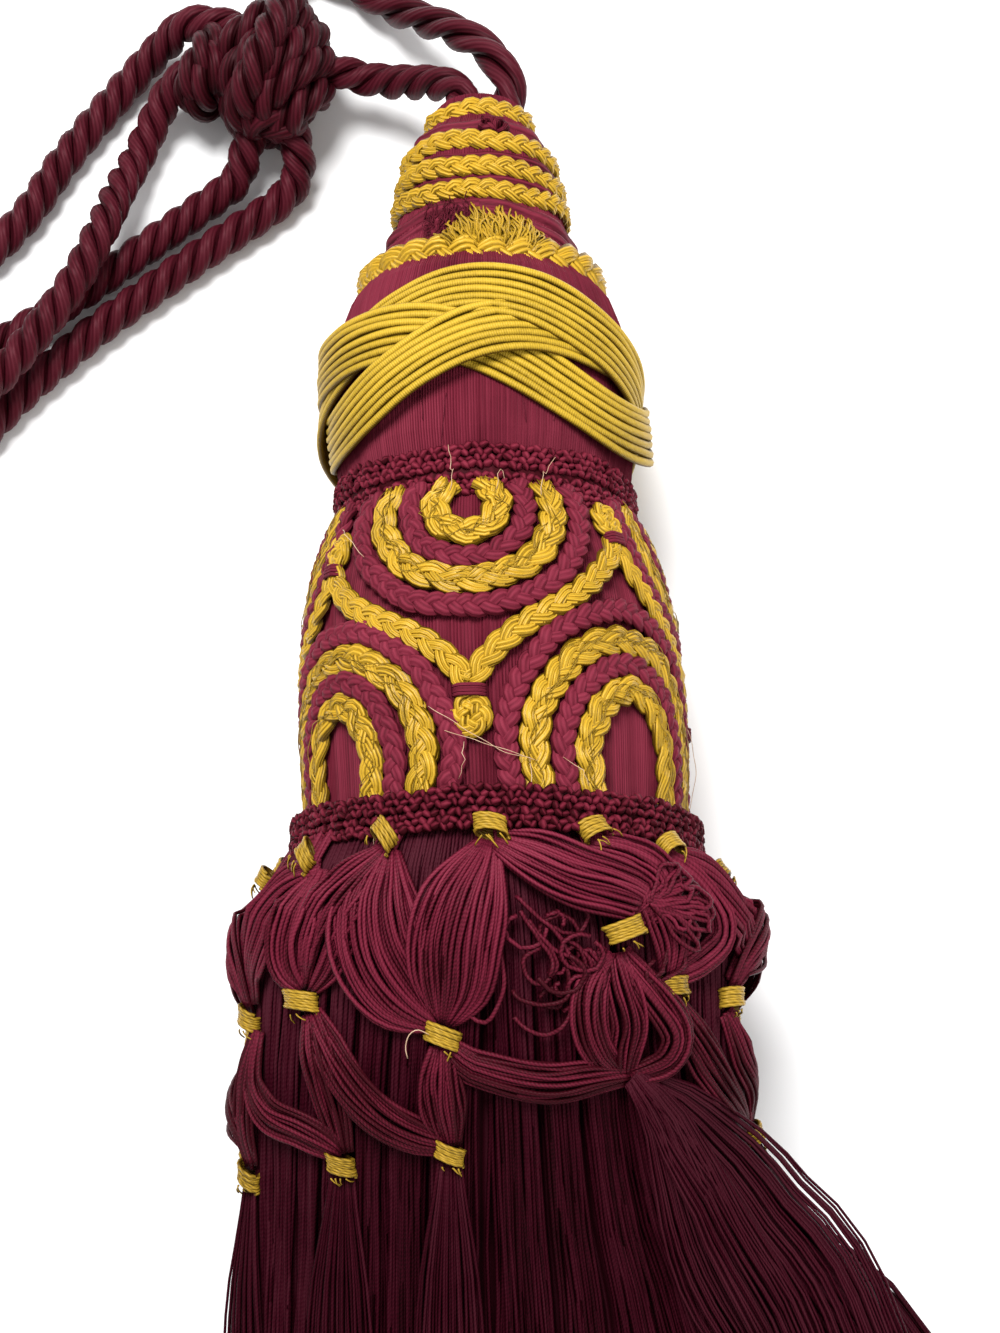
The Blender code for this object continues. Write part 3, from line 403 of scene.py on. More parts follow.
class Skein:
    """Tubes of yarn in one mesh. UV map "yarn" runs along each in millimetres and once round it, and
    attribute "tint" gives each its own shade and carries the painted light and shade laid on some of them."""

    def __init__(self):
        self.places, self.quads, self.quad_uv, self.caps, self.cap_uv, self.tints = [], [], [], [], [], []
        self.count = 0

    def tube(self, path, ups, radius, sides=6, flat=1.0, closed=False, tint=0.5):
        """One more tube along a path, lower than wide by "flat" towards its upward directions."""
        path = np.asarray(path, float)
        rings = len(path)
        ahead = headings(path, closed)
        side = unit(np.cross(ahead, ups))
        up = np.cross(side, ahead)
        turns = 2 * math.pi * np.arange(sides) / sides
        radius = np.broadcast_to(radius, rings)[:, None, None]
        rim = side[:, None] * np.cos(turns)[:, None] + up[:, None] * (np.sin(turns) * flat)[:, None]
        self.places.append((path[:, None] + rim * radius).reshape(-1, 3))
        lengths = run_lengths(np.vstack((path, path[:1])) if closed else path)
        near = np.arange(rings if closed else rings - 1)[:, None]
        far = (near + 1) % rings
        left = np.arange(sides)[None]
        right = (left + 1) % sides
        spots = [self.count + row * sides + column
                 for row, column in ((near, left), (far, left), (far, right), (near, right))]
        self.quads.append(np.stack(spots, -1).reshape(-1, 4))
        along = np.stack([np.broadcast_to(lengths[row], (len(near), sides))
                          for row in (near, near + 1, near + 1, near)], -1)
        about = np.stack([np.broadcast_to(column / sides, (len(near), sides))
                          for column in (left, left, left + 1, left + 1)], -1)
        self.quad_uv.append(np.stack((along, about), -1).reshape(-1, 2))
        if not closed:
            first = self.count + np.arange(sides)
            self.caps += [first, (first + (rings - 1) * sides)[::-1]]
            ends = np.stack((np.full(sides, lengths[0]), turns / (2 * math.pi)), -1)
            self.cap_uv += [ends, ends + (lengths[-1], 0.0)]
        self.tints.append(np.repeat(np.broadcast_to(tint, rings), sides))
        self.count += rings * sides

    def piece(self, name, material):
        """One mesh of all the tubes."""
        mesh = bpy.data.meshes.new(name)
        corners = np.concatenate([np.concatenate(self.quads).ravel()] + self.caps)
        totals = np.array([4] * (sum(len(q) for q in self.quads)) + [len(c) for c in self.caps])
        places = np.concatenate(self.places)
        places[:, 2] = np.maximum(places[:, 2], 0.0)
        mesh.vertices.add(self.count)
        mesh.vertices.foreach_set("co", (places * MM).astype(np.float32).ravel())
        mesh.loops.add(len(corners))
        mesh.loops.foreach_set("vertex_index", corners.astype(np.int32))
        mesh.polygons.add(len(totals))
        mesh.polygons.foreach_set("loop_start", (np.cumsum(totals) - totals).astype(np.int32))
        mesh.update(calc_edges=True)
        add_yarn_maps(mesh, np.concatenate(self.quad_uv + self.cap_uv), np.concatenate(self.tints))
        return shown_piece(mesh, material)

    def set_down(self, name, finish, slot, *nodes):
        """Finish the piece in one of the yarns and let it stand for its solids."""
        settle(self.piece(name, yarn_finish(finish)), slot, *nodes)


def add_yarn_maps(mesh, uv, tint):
    """What the yarn finishes read: a UV map "yarn" and an attribute "tint"."""
    mesh.uv_layers.new(name="yarn").data.foreach_set("uv", uv.astype(np.float32).ravel())
    shade = mesh.attributes.new("tint", "FLOAT", "POINT")
    shade.data.foreach_set("value", tint.astype(np.float32))


def shown_piece(mesh, material):
    """A smooth piece of this mesh, with its name."""
    mesh.shade_smooth()
    mesh.materials.append(material)
    piece = bpy.data.objects.new(mesh.name, mesh)
    bpy.context.scene.collection.objects.link(piece)
    return piece


# Kinds of plait: half width of a strand, its swing to the side, its half height, its hop, length of a period,
# threads of floss in a strand
PLAIT_KINDS = {
    "gold": (1.50, 1.72, 0.85, 0.42, 15.0, 5),
    "narrow": (1.26, 1.40, 0.80, 0.42, 13.0, 5),
    "wine": (1.26, 1.32, 0.90, 0.50, 9.6, 1),
    "neck": (1.24, 1.36, 1.00, 0.65, 11.0, 5),
    "loose": (2.15, 2.20, 1.20, 0.85, 17.0, 6),
    "small": (1.10, 1.05, 0.80, 0.40, 7.6, 3),
}
# Length in which the floss of a strand goes round once; its reach across and up as shares of the strand's;
# its girth, and how fast that falls with the number of threads; how much paler its crests are painted, as
# painted light on the threads on top and painted shade on those underneath
FLOSS_LAY, FLOSS_ACROSS, FLOSS_UP = 34.0, 0.58, 0.45
FLOSS_GIRTH, FLOSS_FINER, FLOSS_PAINTED_LIGHT = 1.56, 0.66, 0.34
# Fine threads that have come loose along a plait: how many, half their girth
STRAYS, STRAY_R = 3, 0.11


def plait(skein, path, outward, kind, closed, rng):
    """Three strands that pass over and under each other along a path that lies on something."""
    half_w, swing, half_h, hop, period, floss = PLAIT_KINDS[kind]
    ahead = headings(path, closed)
    across = unit(np.cross(outward, ahead))
    lengths = run_lengths(np.vstack((path, path[:1])) if closed else path)
    total = lengths[-1]
    lengths = lengths[:len(path)]
    turns = max(1, round(total / period)) if closed else total / period
    phase = 2 * math.pi * turns * lengths / total
    if not closed:
        phase = phase + rng.random() * 2 * math.pi + wander(rng, len(path), 0.5, total / period / 3.0)
    drift = 2 * math.pi * np.round(total / FLOSS_LAY) * lengths / total
    for strand in range(3):
        turn = phase + 2 * math.pi * strand / 3
        middle = path + across * (swing * np.sin(turn))[:, None] + outward * (hop * np.sin(2 * turn))[:, None]
        tint = rng.uniform(0.25, 0.75)
        plump = rng.uniform(0.93, 1.06)
        if floss == 1:
            thick = half_w * plump * (1.0 + 0.10 * np.sin(2 * turn))
            skein.tube(middle, outward, thick, sides=8, flat=half_h / half_w, closed=closed, tint=tint)
            continue
        strand_across = unit(np.cross(outward, headings(middle, closed)))
        girth = half_w * FLOSS_GIRTH / (floss + 0.3) ** FLOSS_FINER
        for thread in range(floss):
            spin = drift + 2 * math.pi * thread / floss + strand
            beside = strand_across * (np.cos(spin) * half_w * FLOSS_ACROSS * plump)[:, None]
            above = outward * (np.sin(spin) * half_h * FLOSS_UP)[:, None]
            # Threads on top are painted paler and those underneath darker, as painted light and shade
            skein.tube(middle + beside + above, outward, girth, sides=4, flat=0.85, closed=closed,
                       tint=tint + rng.uniform(-0.14, 0.14) + FLOSS_PAINTED_LIGHT * np.sin(spin))
    if floss > 1 and not closed:
        loose_floss(skein, path, outward, across, half_w, rng)


def lay_plait(name, places, kind, closed, rng, node, finish="gold floss", slot="gold_plait"):
    """A plait as a piece of its own, laid on these places, which stands for its solid."""
    skein = Skein()
    plait(skein, *places, kind, closed, rng)
    skein.set_down(name, finish, slot, node)


def loose_floss(skein, path, outward, across, half_w, rng):
    """Fine threads that have come loose along a plait."""
    count = len(path)
    for _ in range(STRAYS):
        beside = across * (rng.uniform(-1.0, 1.0) * half_w + wander(rng, count, half_w * 1.3, 4.0))[:, None]
        above = outward * (half_w * 0.85 + wander(rng, count, 0.35, 5.0))[:, None]
        skein.tube(path + beside + above, outward, STRAY_R, sides=3, tint=rng.uniform(0.5, 1.0))


# ------------------------------------------------------------
# Finishes

class Finish:
    """A material and short calls that add its nodes."""

    def __init__(self, name):
        self.material = bpy.data.materials.new(name)
        self.material.use_nodes = True
        self.tree = self.material.node_tree
        self.shader = self.tree.nodes["Principled BSDF"]

    def node(self, kind, settings=(), **inputs):
        """A node with its inputs fed by name, or by number as i0, i1 and so on."""
        made = self.tree.nodes.new(kind)
        for key, value in dict(settings).items():
            setattr(made, key, value)
        for key, value in inputs.items():
            socket = made.inputs[int(key[1:])] if key[0] == "i" and key[1:].isdigit() else made.inputs[key]
            self.feed(socket, value)
        return made

    def feed(self, socket, value):
        if hasattr(value, "is_output"):
            self.tree.links.new(value, socket)
        else:
            socket.default_value = value

    def sum(self, operation, first, second=0.0):
        """Two values put together by a sum such as ADD."""
        return self.node("ShaderNodeMath", {"operation": operation}, i0=first, i1=second).outputs[0]

    def ramp(self, factor, stops):
        """Colours by a factor, as (factor, colour)."""
        made = self.node("ShaderNodeValToRGB", i0=factor)
        while len(made.color_ramp.elements) < len(stops):
            made.color_ramp.elements.new(0.5)
        for element, (at, colour) in zip(made.color_ramp.elements, stops):
            element.position = at
            element.color = (*colour, 1.0)
        return made.outputs[0]

    def gloss(self, roughness, sheen, sheen_tint, specular):
        """Shine of the surface; its glints take a little of the sheen's colour."""
        glint = [GLINT_WHITE + (1.0 - GLINT_WHITE) * value / max(sheen_tint) for value in sheen_tint]
        for socket, value in (("Roughness", roughness), ("Sheen Weight", sheen), ("Sheen Roughness", 0.45),
                              ("Sheen Tint", (*sheen_tint, 1.0)), ("Specular IOR Level", specular),
                              ("Specular Tint", (*glint, 1.0))):
            self.shader.inputs[socket].default_value = value

    def colour(self, factor, stops):
        self.feed(self.shader.inputs["Base Color"], self.ramp(factor, stops))


# Share of white in a glint
GLINT_WHITE = 0.45
# Yarn finishes: threads round the yarn, length of their lay, how much painted shade darkens their grooves,
# how much paler its crest is painted than its sides as painted light and shade, depth of the relief in
# millimetres, how coarse the fibres are along and round it, roughness, sheen, specular
YARNS = {
    "rope satin": dict(
        colour="rope", plies=11, lay=70.0, groove=0.26, edge=0.34, relief=0.12, fibre=(0.10, 40.0),
        rough=0.46, sheen=0.03, specular=0.13),
    "mould thread": dict(
        colour="thread", plies=340, lay=1e6, groove=0.26, edge=0.0, relief=0.10, fibre=(0.10, 1300.0),
        rough=0.55, sheen=0.04, specular=0.10),
    "burgundy plait": dict(
        colour="thread", plies=7, lay=26.0, groove=0.30, edge=0.22, relief=0.10, fibre=(0.5, 30.0),
        rough=0.60, sheen=0.05, specular=0.10),
    "burgundy crochet": dict(
        colour="crochet", plies=3, lay=2.6, groove=0.36, edge=0.30, relief=0.12, fibre=(0.8, 14.0),
        rough=0.62, sheen=0.05, specular=0.10),
    "gold floss": dict(
        colour="gold", plies=5, lay=60.0, groove=0.58, edge=0.55, relief=0.09, fibre=(0.14, 18.0),
        rough=0.36, sheen=0.04, specular=0.40),
    "gold gimp": dict(
        colour="gimp", plies=1, lay=0.50, groove=0.22, edge=0.85, relief=0.08, fibre=(1.6, 8.0),
        rough=0.45, sheen=0.04, specular=0.28),
    "gold binding": dict(
        colour="tie", plies=2, lay=1.8, groove=0.34, edge=0.40, relief=0.08, fibre=(0.8, 12.0),
        rough=0.42, sheen=0.04, specular=0.30),
    "net cord": dict(
        colour="net", plies=2, lay=0.80, groove=0.20, edge=0.32, relief=0.05, fibre=(0.6, 9.0),
        rough=0.48, sheen=0.02, specular=0.14),
    "fringe yarn": dict(
        colour="fringe", plies=2, lay=0.90, groove=0.18, edge=0.30, relief=0.04, fibre=(0.4, 8.0),
        rough=0.52, sheen=0.01, specular=0.06),
    "fringe mass": dict(
        colour="fringe", plies=240, lay=1e6, groove=0.60, edge=0.0, relief=0.30, fibre=(0.03, 700.0),
        rough=0.60, sheen=0.01, specular=0.05),
}
# How much the fibres, the patches and the tint of a thread shade it, and the size of a patch
FIBRE_SHADE, PATCH_SHADE, TINT_SHADE, PATCH_SCALE = 0.55, 0.45, 0.42, 70.0
# Dark and light of a yarn as shares of its colour: the painted shade in its grooves and on its sides reaches
# the dark, the painted light on its crest the light
DARK_SHARES, LIGHT_SHARE = (0.28, 0.24, 0.22), 1.55


def yarn_finish(name):
    """Twisted yarn: painted shade in the grooves between its threads, painted light on its crest, fibres
    along it, and a shade that changes down its run.
    """
    if name in bpy.data.materials:
        return bpy.data.materials[name]
    facts = YARNS[name]
    dark, middle, light = shades(facts["colour"])
    finish = Finish(name)
    place = finish.node("ShaderNodeUVMap", {"uv_map": "yarn"}).outputs[0]
    split = finish.node("ShaderNodeSeparateXYZ", i0=place)
    along, about = split.outputs[0], split.outputs[1]
    tint = finish.node("ShaderNodeAttribute", {"attribute_name": "tint"}).outputs["Fac"]
    laid = finish.sum("DIVIDE", along, facts["lay"])
    turns = finish.sum("ADD", laid, finish.sum("MULTIPLY", about, float(facts["plies"])))
    wave = finish.sum("SINE", finish.sum("MULTIPLY", turns, 2 * math.pi))
    ply = finish.sum("MULTIPLY_ADD", wave, 0.5)
    ply.node.inputs[2].default_value = 0.5
    length_scale, girth_scale = facts["fibre"]
    streak = finish.node("ShaderNodeCombineXYZ", i0=finish.sum("MULTIPLY", along, length_scale),
                         i1=finish.sum("MULTIPLY", about, girth_scale), i2=finish.sum("MULTIPLY", tint, 60.0))
    fibre = finish.node("ShaderNodeTexNoise", Vector=streak.outputs[0], Scale=1.0, Detail=3.0,
                        Roughness=0.6).outputs["Fac"]
    where = finish.node("ShaderNodeTexCoord").outputs["Object"]
    patch = finish.node("ShaderNodeTexNoise", Vector=where, Scale=PATCH_SCALE, Detail=3.0).outputs["Fac"]
    # Painted shade: the grooves between the threads darken the colour; fibres, patches and the tint change
    # its tone, and the tint also carries painted light and shade
    factor = finish.sum("MULTIPLY", ply, facts["groove"])
    for source, weight in ((fibre, FIBRE_SHADE), (patch, PATCH_SHADE), (tint, TINT_SHADE)):
        factor = finish.sum("ADD", factor, finish.sum("MULTIPLY", source, weight))
    factor = finish.sum("SUBTRACT", factor, 0.20 + facts["groove"] * 0.5)
    # Painted light and shade: the crest of the yarn, which faces out, is painted paler and its sides darker
    if facts["edge"]:
        crest = finish.sum("SINE", finish.sum("MULTIPLY", about, 2 * math.pi))
        paler = finish.sum("MULTIPLY", finish.sum("SUBTRACT", crest, 0.75), facts["edge"])
        factor = finish.sum("ADD", factor, paler)
    finish.colour(factor, ((0.12, dark), (0.5, middle), (0.92, light)))
    height = finish.sum("ADD", finish.sum("MULTIPLY", ply, 0.7), finish.sum("MULTIPLY", fibre, 0.6))
    bump = finish.node("ShaderNodeBump", Height=height, Strength=1.0, Distance=facts["relief"] * MM)
    finish.feed(finish.shader.inputs["Normal"], bump.outputs[0])
    finish.gloss(facts["rough"], facts["sheen"], light, facts["specular"])
    return finish.material


def shades(name):
    """Dark, middle and light of one of the add-on's colours; the dark is the colour of painted shade and the
    light of painted light.
    """
    middle = tuple(getattr(bpy.context.scene.tassel_colours, name))
    dark = tuple(value * share for value, share in zip(middle, DARK_SHARES))
    light = tuple(min(1.0, value * LIGHT_SHARE + 0.006) for value in middle)
    return dark, middle, light


def speckled_finish(name, scale, dark, light, roughness, specular):
    """A plain surface that changes a little from place to place."""
    finish = Finish(name)
    where = finish.node("ShaderNodeTexCoord").outputs["Object"]
    noise = finish.node("ShaderNodeTexNoise", Vector=where, Scale=scale, Detail=2.0).outputs["Fac"]
    finish.colour(noise, ((0.3, dark), (0.7, light)))
    finish.gloss(roughness, 0.0, (1.0, 1.0, 1.0), specular)
    return finish.material


def hair_finish():
    return speckled_finish("stray hair", 300.0, (0.42, 0.24, 0.14), (0.70, 0.50, 0.34), 0.4, 0.5)


# ------------------------------------------------------------
# Placing finished pieces

def settle(piece, slot, *nodes):
    """Let a finished piece ride on the tassel and stand for its solids."""
    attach(piece, "root")
    if nodes:
        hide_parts(*nodes)
    return piece


def deselect_all():
    bpy.ops.object.select_all(action="DESELECT")


def edit_all():
    """Go into edit mode with all of the active piece selected."""
    bpy.ops.object.mode_set(mode="EDIT")
    bpy.ops.mesh.select_all(action="SELECT")


def face_outwards():
    """Turn the faces of the active piece outwards, and leave edit mode."""
    edit_all()
    bpy.ops.mesh.normals_make_consistent(inside=False)
    bpy.ops.object.mode_set(mode="OBJECT")


# ------------------------------------------------------------
# Stage

CAMERA_AT, CAMERA_DOWN = (3.0, -43.82, 445.48), 79.03
CAMERA_FOCAL_PX, PICTURE_LONG_SIDE, CAMERA_SENSOR = 2000.0, 1333.0, 36.0
# Light of the whole room, and how far the table top is under the floor frame
ROOM_LIGHT, TABLE_UNDER = 0.62, 0.0002
TABLE_DARK, TABLE_LIGHT = (0.93, 0.93, 0.93), (0.96, 0.96, 0.96)
# Lights: name, place, what each faces, side, power
STAGE_LIGHTS = (
    ("key", (-0.16, 0.34, 0.72), (-0.03, 0.06, 0.04), 0.34, 8.0),
    ("fill", (0.55, -0.10, 0.60), (-0.02, 0.0, 0.03), 0.60, 2.0),
)


def make_stage():
    scene = bpy.context.scene
    scene.view_settings.view_transform = "Standard"
    deselect_all()
    bpy.ops.mesh.primitive_plane_add(size=scene.tassel_sizes.table_side, location=(0.0, 0.0, -TABLE_UNDER))
    table = bpy.context.object
    table.name = "table_top"
    table.data.materials.append(speckled_finish("table top", 3.0, TABLE_DARK, TABLE_LIGHT, 0.9, 0.1))

    scene.world = bpy.data.worlds.new("studio")
    scene.world.use_nodes = True
    room = scene.world.node_tree.nodes["Background"]
    room.inputs["Color"].default_value = (1.0, 1.0, 1.0, 1.0)
    room.inputs["Strength"].default_value = ROOM_LIGHT
    for name, place, aim, side, power in STAGE_LIGHTS:
        light = bpy.data.lights.new(name, "AREA")
        light.shape = "DISK"
        light.size = side
        light.energy = power
        lamp = bpy.data.objects.new(name, light)
        scene.collection.objects.link(lamp)
        lamp.location = place
        lamp.rotation_euler = (Vector(aim) - Vector(place)).to_track_quat("-Z", "Y").to_euler()

    camera = bpy.data.cameras.new("camera")
    camera.sensor_width = CAMERA_SENSOR
    camera.lens = CAMERA_SENSOR * CAMERA_FOCAL_PX / PICTURE_LONG_SIDE
    camera.clip_start = 0.01
    holder = bpy.data.objects.new("camera", camera)
    scene.collection.objects.link(holder)
    holder.location = (np.array(CAMERA_AT) + FLOOR_FRAME) * MM
    holder.rotation_euler = (math.radians(90.0 - CAMERA_DOWN), 0.0, 0.0)
    scene.camera = holder


# ------------------------------------------------------------
# Ropes and knot

# Steps along a rope, and points of a winding in one turn
ROPE_STEP, WINDING_POINTS = 1.2, 90


def laid_rope(skein, route, rng, pitch, shade=0.0):
    """Three plump strands laid to the left round a centreline."""
    ahead = headings(route)
    side = carried_side(route)
    up = np.cross(ahead, side)
    lengths = run_lengths(route)
    start = rng.random() * 2 * math.pi
    for strand in range(3):
        turn = start - 2 * math.pi * (lengths / pitch - strand / 3)
        outward = side * np.cos(turn)[:, None] + up * np.sin(turn)[:, None]
        # The strands are painted darker by "shade" where it is given, as painted shade on the turns of the
        # knot
        skein.tube(route + outward * ROPE_LAY_R, outward, STRAND_R, sides=12, flat=0.97,
                   tint=rng.uniform(0.3, 0.6) + shade)


def make_ropes():
    """The two legs and the two loops, each laid as a rope that runs into the knot."""
    for number, (node, points) in enumerate(ROPES.items()):
        rng = np.random.default_rng(100 + number)
        places = np.array([(*point, ROPE_LIES)[:3] for point in points])
        route = smooth_route(places + FLOOR_FRAME, ROPE_STEP)
        skein = Skein()
        laid_rope(skein, route, rng, ROPE_PITCHES[node])
        piece = skein.piece(node.replace("rope_", "laid_rope_"), yarn_finish("rope satin"))
        settle(piece, "burgundy_rope", node)


def wound_turns(axis, start, turns, spread, centre, half, rng):
    """Path of a rope wound round an egg-shaped core, moving along the axis as it goes."""
    axis = unit(np.array(axis, float))
    first = unit(np.cross(axis, (0.0, 0.0, 1.0)))
    second = np.cross(axis, first)
    count = int(turns * WINDING_POINTS)
    turn = 2 * math.pi * np.linspace(0.0, turns, count) + math.radians(start)
    rise = np.linspace(spread[0], spread[1], count) + wander(rng, count, 0.035, turns * 1.3)
    reach = np.sqrt(np.maximum(1.0 - rise ** 2, 0.02)) * (1.0 + wander(rng, count, 0.05, turns * 1.7))
    way = (axis * rise[:, None] + first * (reach * np.cos(turn))[:, None]
           + second * (reach * np.sin(turn))[:, None])
    return even_steps(np.array(centre) + way * np.array(half), 1.0)


def make_knot():
    """A core that fills the knot, and the turns of rope that are wound over it."""
    rng = np.random.default_rng(7)
    deselect_all()
    bpy.ops.mesh.primitive_uv_sphere_add(segments=32, ring_count=18, radius=MM)
    core = bpy.context.object
    edit_all()
    bpy.ops.transform.resize(value=KNOT_CORE)
    bpy.ops.transform.translate(value=(np.array(KNOT_AT) + FLOOR_FRAME) * MM)
    bpy.ops.object.mode_set(mode="OBJECT")
    core.name = "knot_core"
    core.data.materials.append(yarn_finish("rope satin"))
    skein = Skein()
    for axis, start, turns, spread, centre, half in KNOT_TURNS:
        path = wound_turns(axis, start, turns, spread, np.array(centre) + FLOOR_FRAME, half, rng)
        path[:, 2] = np.maximum(path[:, 2], ROPE_LAY_R + STRAND_R)
        laid_rope(skein, path, rng, KNOT_PITCH, KNOT_PAINTED_SHADE)
    skein.set_down("wound_knot", "rope satin", "burgundy_rope", "rope_knot")
    settle(core, "burgundy_rope")


# ------------------------------------------------------------
# Moulds under thread

def make_mould(node, profile, rng):
    """A turned mould drawn down station by station from a circle, its cover of threads raised on it."""
    around = THREADS_AROUND[node] * 2
    deselect_all()
    top_s, top_r = profile[0]
    bpy.ops.mesh.primitive_circle_add(vertices=around, radius=top_r, fill_type="NGON",
                                      location=(0.0, 0.0, top_s))
    mould = bpy.context.object
    edit_all()
    for (from_s, from_r), (to_s, to_r) in zip(profile, profile[1:]):
        bpy.ops.mesh.extrude_region_move(TRANSFORM_OT_translate={"value": (0.0, 0.0, to_s - from_s)})
        share = to_r / from_r
        bpy.ops.transform.resize(value=(share, share, 1.0))
    face_outwards()
    bpy.ops.object.transform_apply(location=True, rotation=True, scale=True)
    mould.name = f"{node}_thread"
    mesh = mould.data
    mesh.name = mould.name
    places = np.array([vert.co for vert in mesh.vertices])
    turns = np.arctan2(places[:, 0], -places[:, 1])
    radii = np.hypot(places[:, 0], places[:, 1])
    column = np.round(turns / (2 * math.pi) * around).astype(int) % around
    raised = np.where(column % 2 == 0, 1.0, -1.0) * THREAD_RELIEF * rng.uniform(0.5, 1.6, around)[column]
    raised += COVER_SWELL * np.sin(column * 0.21 + places[:, 2] * 0.05) * np.sin(column * 0.057)
    places[:, :2] *= ((radii + raised) / radii)[:, None]
    map_mould(mesh, places[:, 2], turns / (2 * math.pi) + 0.5, rng, around, column)
    mesh.vertices.foreach_set("co", (head_places(places) * MM).astype(np.float32).ravel())
    mesh.update()
    mesh.materials.append(yarn_finish("mould thread"))
    settle(mould, "burgundy_thread", node)


def map_mould(mesh, along, about, rng, around, column):
    """UV map and tint of a cover whose threads are this many columns round, two to a thread."""
    corners = np.zeros(len(mesh.loops), np.int32)
    mesh.loops.foreach_get("vertex_index", corners)
    starts = np.zeros(len(mesh.polygons), np.int32)
    mesh.polygons.foreach_get("loop_start", starts)
    about_corner = about[corners]
    owner = np.searchsorted(starts, np.arange(len(corners)), side="right") - 1
    highest = np.maximum.reduceat(about_corner, starts)[owner]
    about_corner = about_corner + (highest - about_corner > 0.5)
    shade = np.repeat(rng.uniform(0.32, 0.68, around // 2), 2)
    add_yarn_maps(mesh, np.stack((along[corners], about_corner), -1), shade[column])


def make_moulds():
    for number, (node, profile) in enumerate((("neck", NECK), ("bell", BELL), ("barrel", BARREL))):
        make_mould(node, profile, np.random.default_rng(20 + number))


# ------------------------------------------------------------
# Neck winding

def stray_stations(angles, *waves):
    """How far the windings stray from their rounds, and how much farther up they sit at the back."""
    turns = np.radians(angles)
    return swells(turns, *waves) + WINDING_LEAN * (1.0 - np.cos(turns)) / 2.0


def make_neck_winding():
    for number, (station, seat) in enumerate(NECK_PLAITS, 1):
        rng = np.random.default_rng(40 + number)
        kind = "loose" if number == len(NECK_PLAITS) else "neck"
        angles = np.linspace(0.0, 360.0, int(2 * math.pi * seat), endpoint=False)
        stray = stray_stations(angles, (0.5, 2, number), (0.3, 5, 2 * number))
        places = ring_places(angles, seat + 1.2, station + stray)
        lay_plait(f"neck_braid_{number}", places, kind, True, rng, f"neck_plait_{number}")
    skein = Skein()
    rng = np.random.default_rng(46)
    angles = np.linspace(0.0, 360.0, 120, endpoint=False)
    turns = np.radians(angles)
    for station, radius, half, drop in NECK_CORDS:
        stray = stray_stations(angles, (0.4, 2, station), (0.2, 5, station))
        stations = station + stray - drop * np.abs(np.sin(turns)) ** 1.5
        grown = from_rows(NECK, stations, 1) - from_rows(NECK, station, 1)
        path, outward = ring_places(angles, radius + grown + 0.2 * half * np.sin(turns * 9), stations)
        skein.tube(path, outward, half, sides=10, flat=0.85, closed=True, tint=rng.uniform(0.0, 0.4))
    for curl in range(CURLS):
        t = np.linspace(0.0, 1.4 * math.pi, 9)
        angles = rng.uniform(4.0, 20.0) + 4.5 * np.cos(t + curl)
        path, outward = ring_places(angles, CURL_R + 1.2 * np.sin(t * 1.7), CURL_S + 1.2 * np.sin(t + curl))
        skein.tube(path, outward, CURL_GIRTH, sides=5, tint=rng.uniform(-0.3, 0.3))
    skein.set_down("neck_cords", "burgundy plait", "burgundy_plait")


# ------------------------------------------------------------
# Woven band

def make_woven_band():
    """Closed band of gimp cords that goes three times round the bell, over and under itself by turns."""
    phase = 2 * math.pi * BAND_BIGHTS * np.arange(BAND_STEPS) / BAND_STEPS
    about = BAND_LEADS / BAND_BIGHTS * phase
    angles = BAND_FRONT + np.degrees(about) + BAND_SPREAD * np.sin(about)
    middle, *waves = BAND_S_WAVES
    stations = middle + sum(size * np.cos(k * phase) for k, size in enumerate(waves, 1))
    stations = stations - BAND_DROP * (1.0 - np.cos(2.0 * np.radians(angles - BAND_FRONT))) / 2.0
    weave = np.clip(np.sin(2 * phase) / BAND_WEAVE_EASE, -1.0, 1.0)
    lift = BAND_SEAT + BAND_LIFT * (1.0 + weave)
    radii = from_rows(BELL, stations, 1)
    onward = np.radians((np.roll(angles, -1) - np.roll(angles, 1)) % 360.0)
    run = unit(np.stack((onward * radii, np.roll(stations, -1) - np.roll(stations, 1)), -1))
    rng = np.random.default_rng(60)
    skein = Skein()
    for cord in range(GIMP_CORDS):
        across = (cord - (GIMP_CORDS - 1) / 2.0) * GIMP_PITCH
        share = across / (GIMP_PITCH * GIMP_CORDS / 2.0)
        shift = across + swells(phase, (0.16, 3, cord), (0.08, 7, 2.6 * cord))
        uneven = swells(phase, (0.10, 5, 2.0 * cord))
        heights = lift + BAND_ROLL * np.sin(phase) * share + GIMP_R * 0.75 + uneven
        spot_angles = angles + np.degrees(-run[:, 1] * shift / radii)
        path, outward = on_mould(BELL, spot_angles, stations + run[:, 0] * shift, heights)
        skein.tube(path, outward, GIMP_R, sides=7, flat=0.85, closed=True, tint=rng.uniform(0.3, 0.7))
    skein.set_down("gimp_band", "gold gimp", "gold_gimp", "woven_band")


# ------------------------------------------------------------
# Crochet trims

def make_trims():
    for number, (node, facts) in enumerate(TRIM_ROWS.items()):
        rng = np.random.default_rng(70 + number)
        skein = Skein()
        low, high = facts["edge"]
        angles = np.linspace(0.0, 360.0, 160, endpoint=False)
        path, outward = ring_places(angles, facts["seat"] - 0.4, (low + high) / 2 + trim_wave(angles, number))
        # The ground under the stitches is painted dark, as painted shade where it shows between them
        skein.tube(path, outward, (high - low) / 2, sides=12, flat=0.34, closed=True, tint=-0.8)
        for row, station in enumerate(facts["stations"]):
            for k in range(facts["stitches"]):
                middle = 360.0 / facts["stitches"] * (k + 0.5 * (row % 2))
                crochet_stitch(skein, station, facts["seat"], middle, number, (-1) ** k, rng)
        skein.set_down(f"{node}_crochet", "burgundy crochet", "burgundy_trim", node)


def trim_wave(angles, number):
    """How far a trim strays from its round."""
    return swells(np.radians(angles), (0.35, 3, number), (0.25, 7, 2.0))


# Half the length of a stitch, half the girth of its yarn, how much darker the barrel's trim is
STITCH_HALF, STITCH_R, TRIM_DARKER = 0.80, 0.72, 0.35


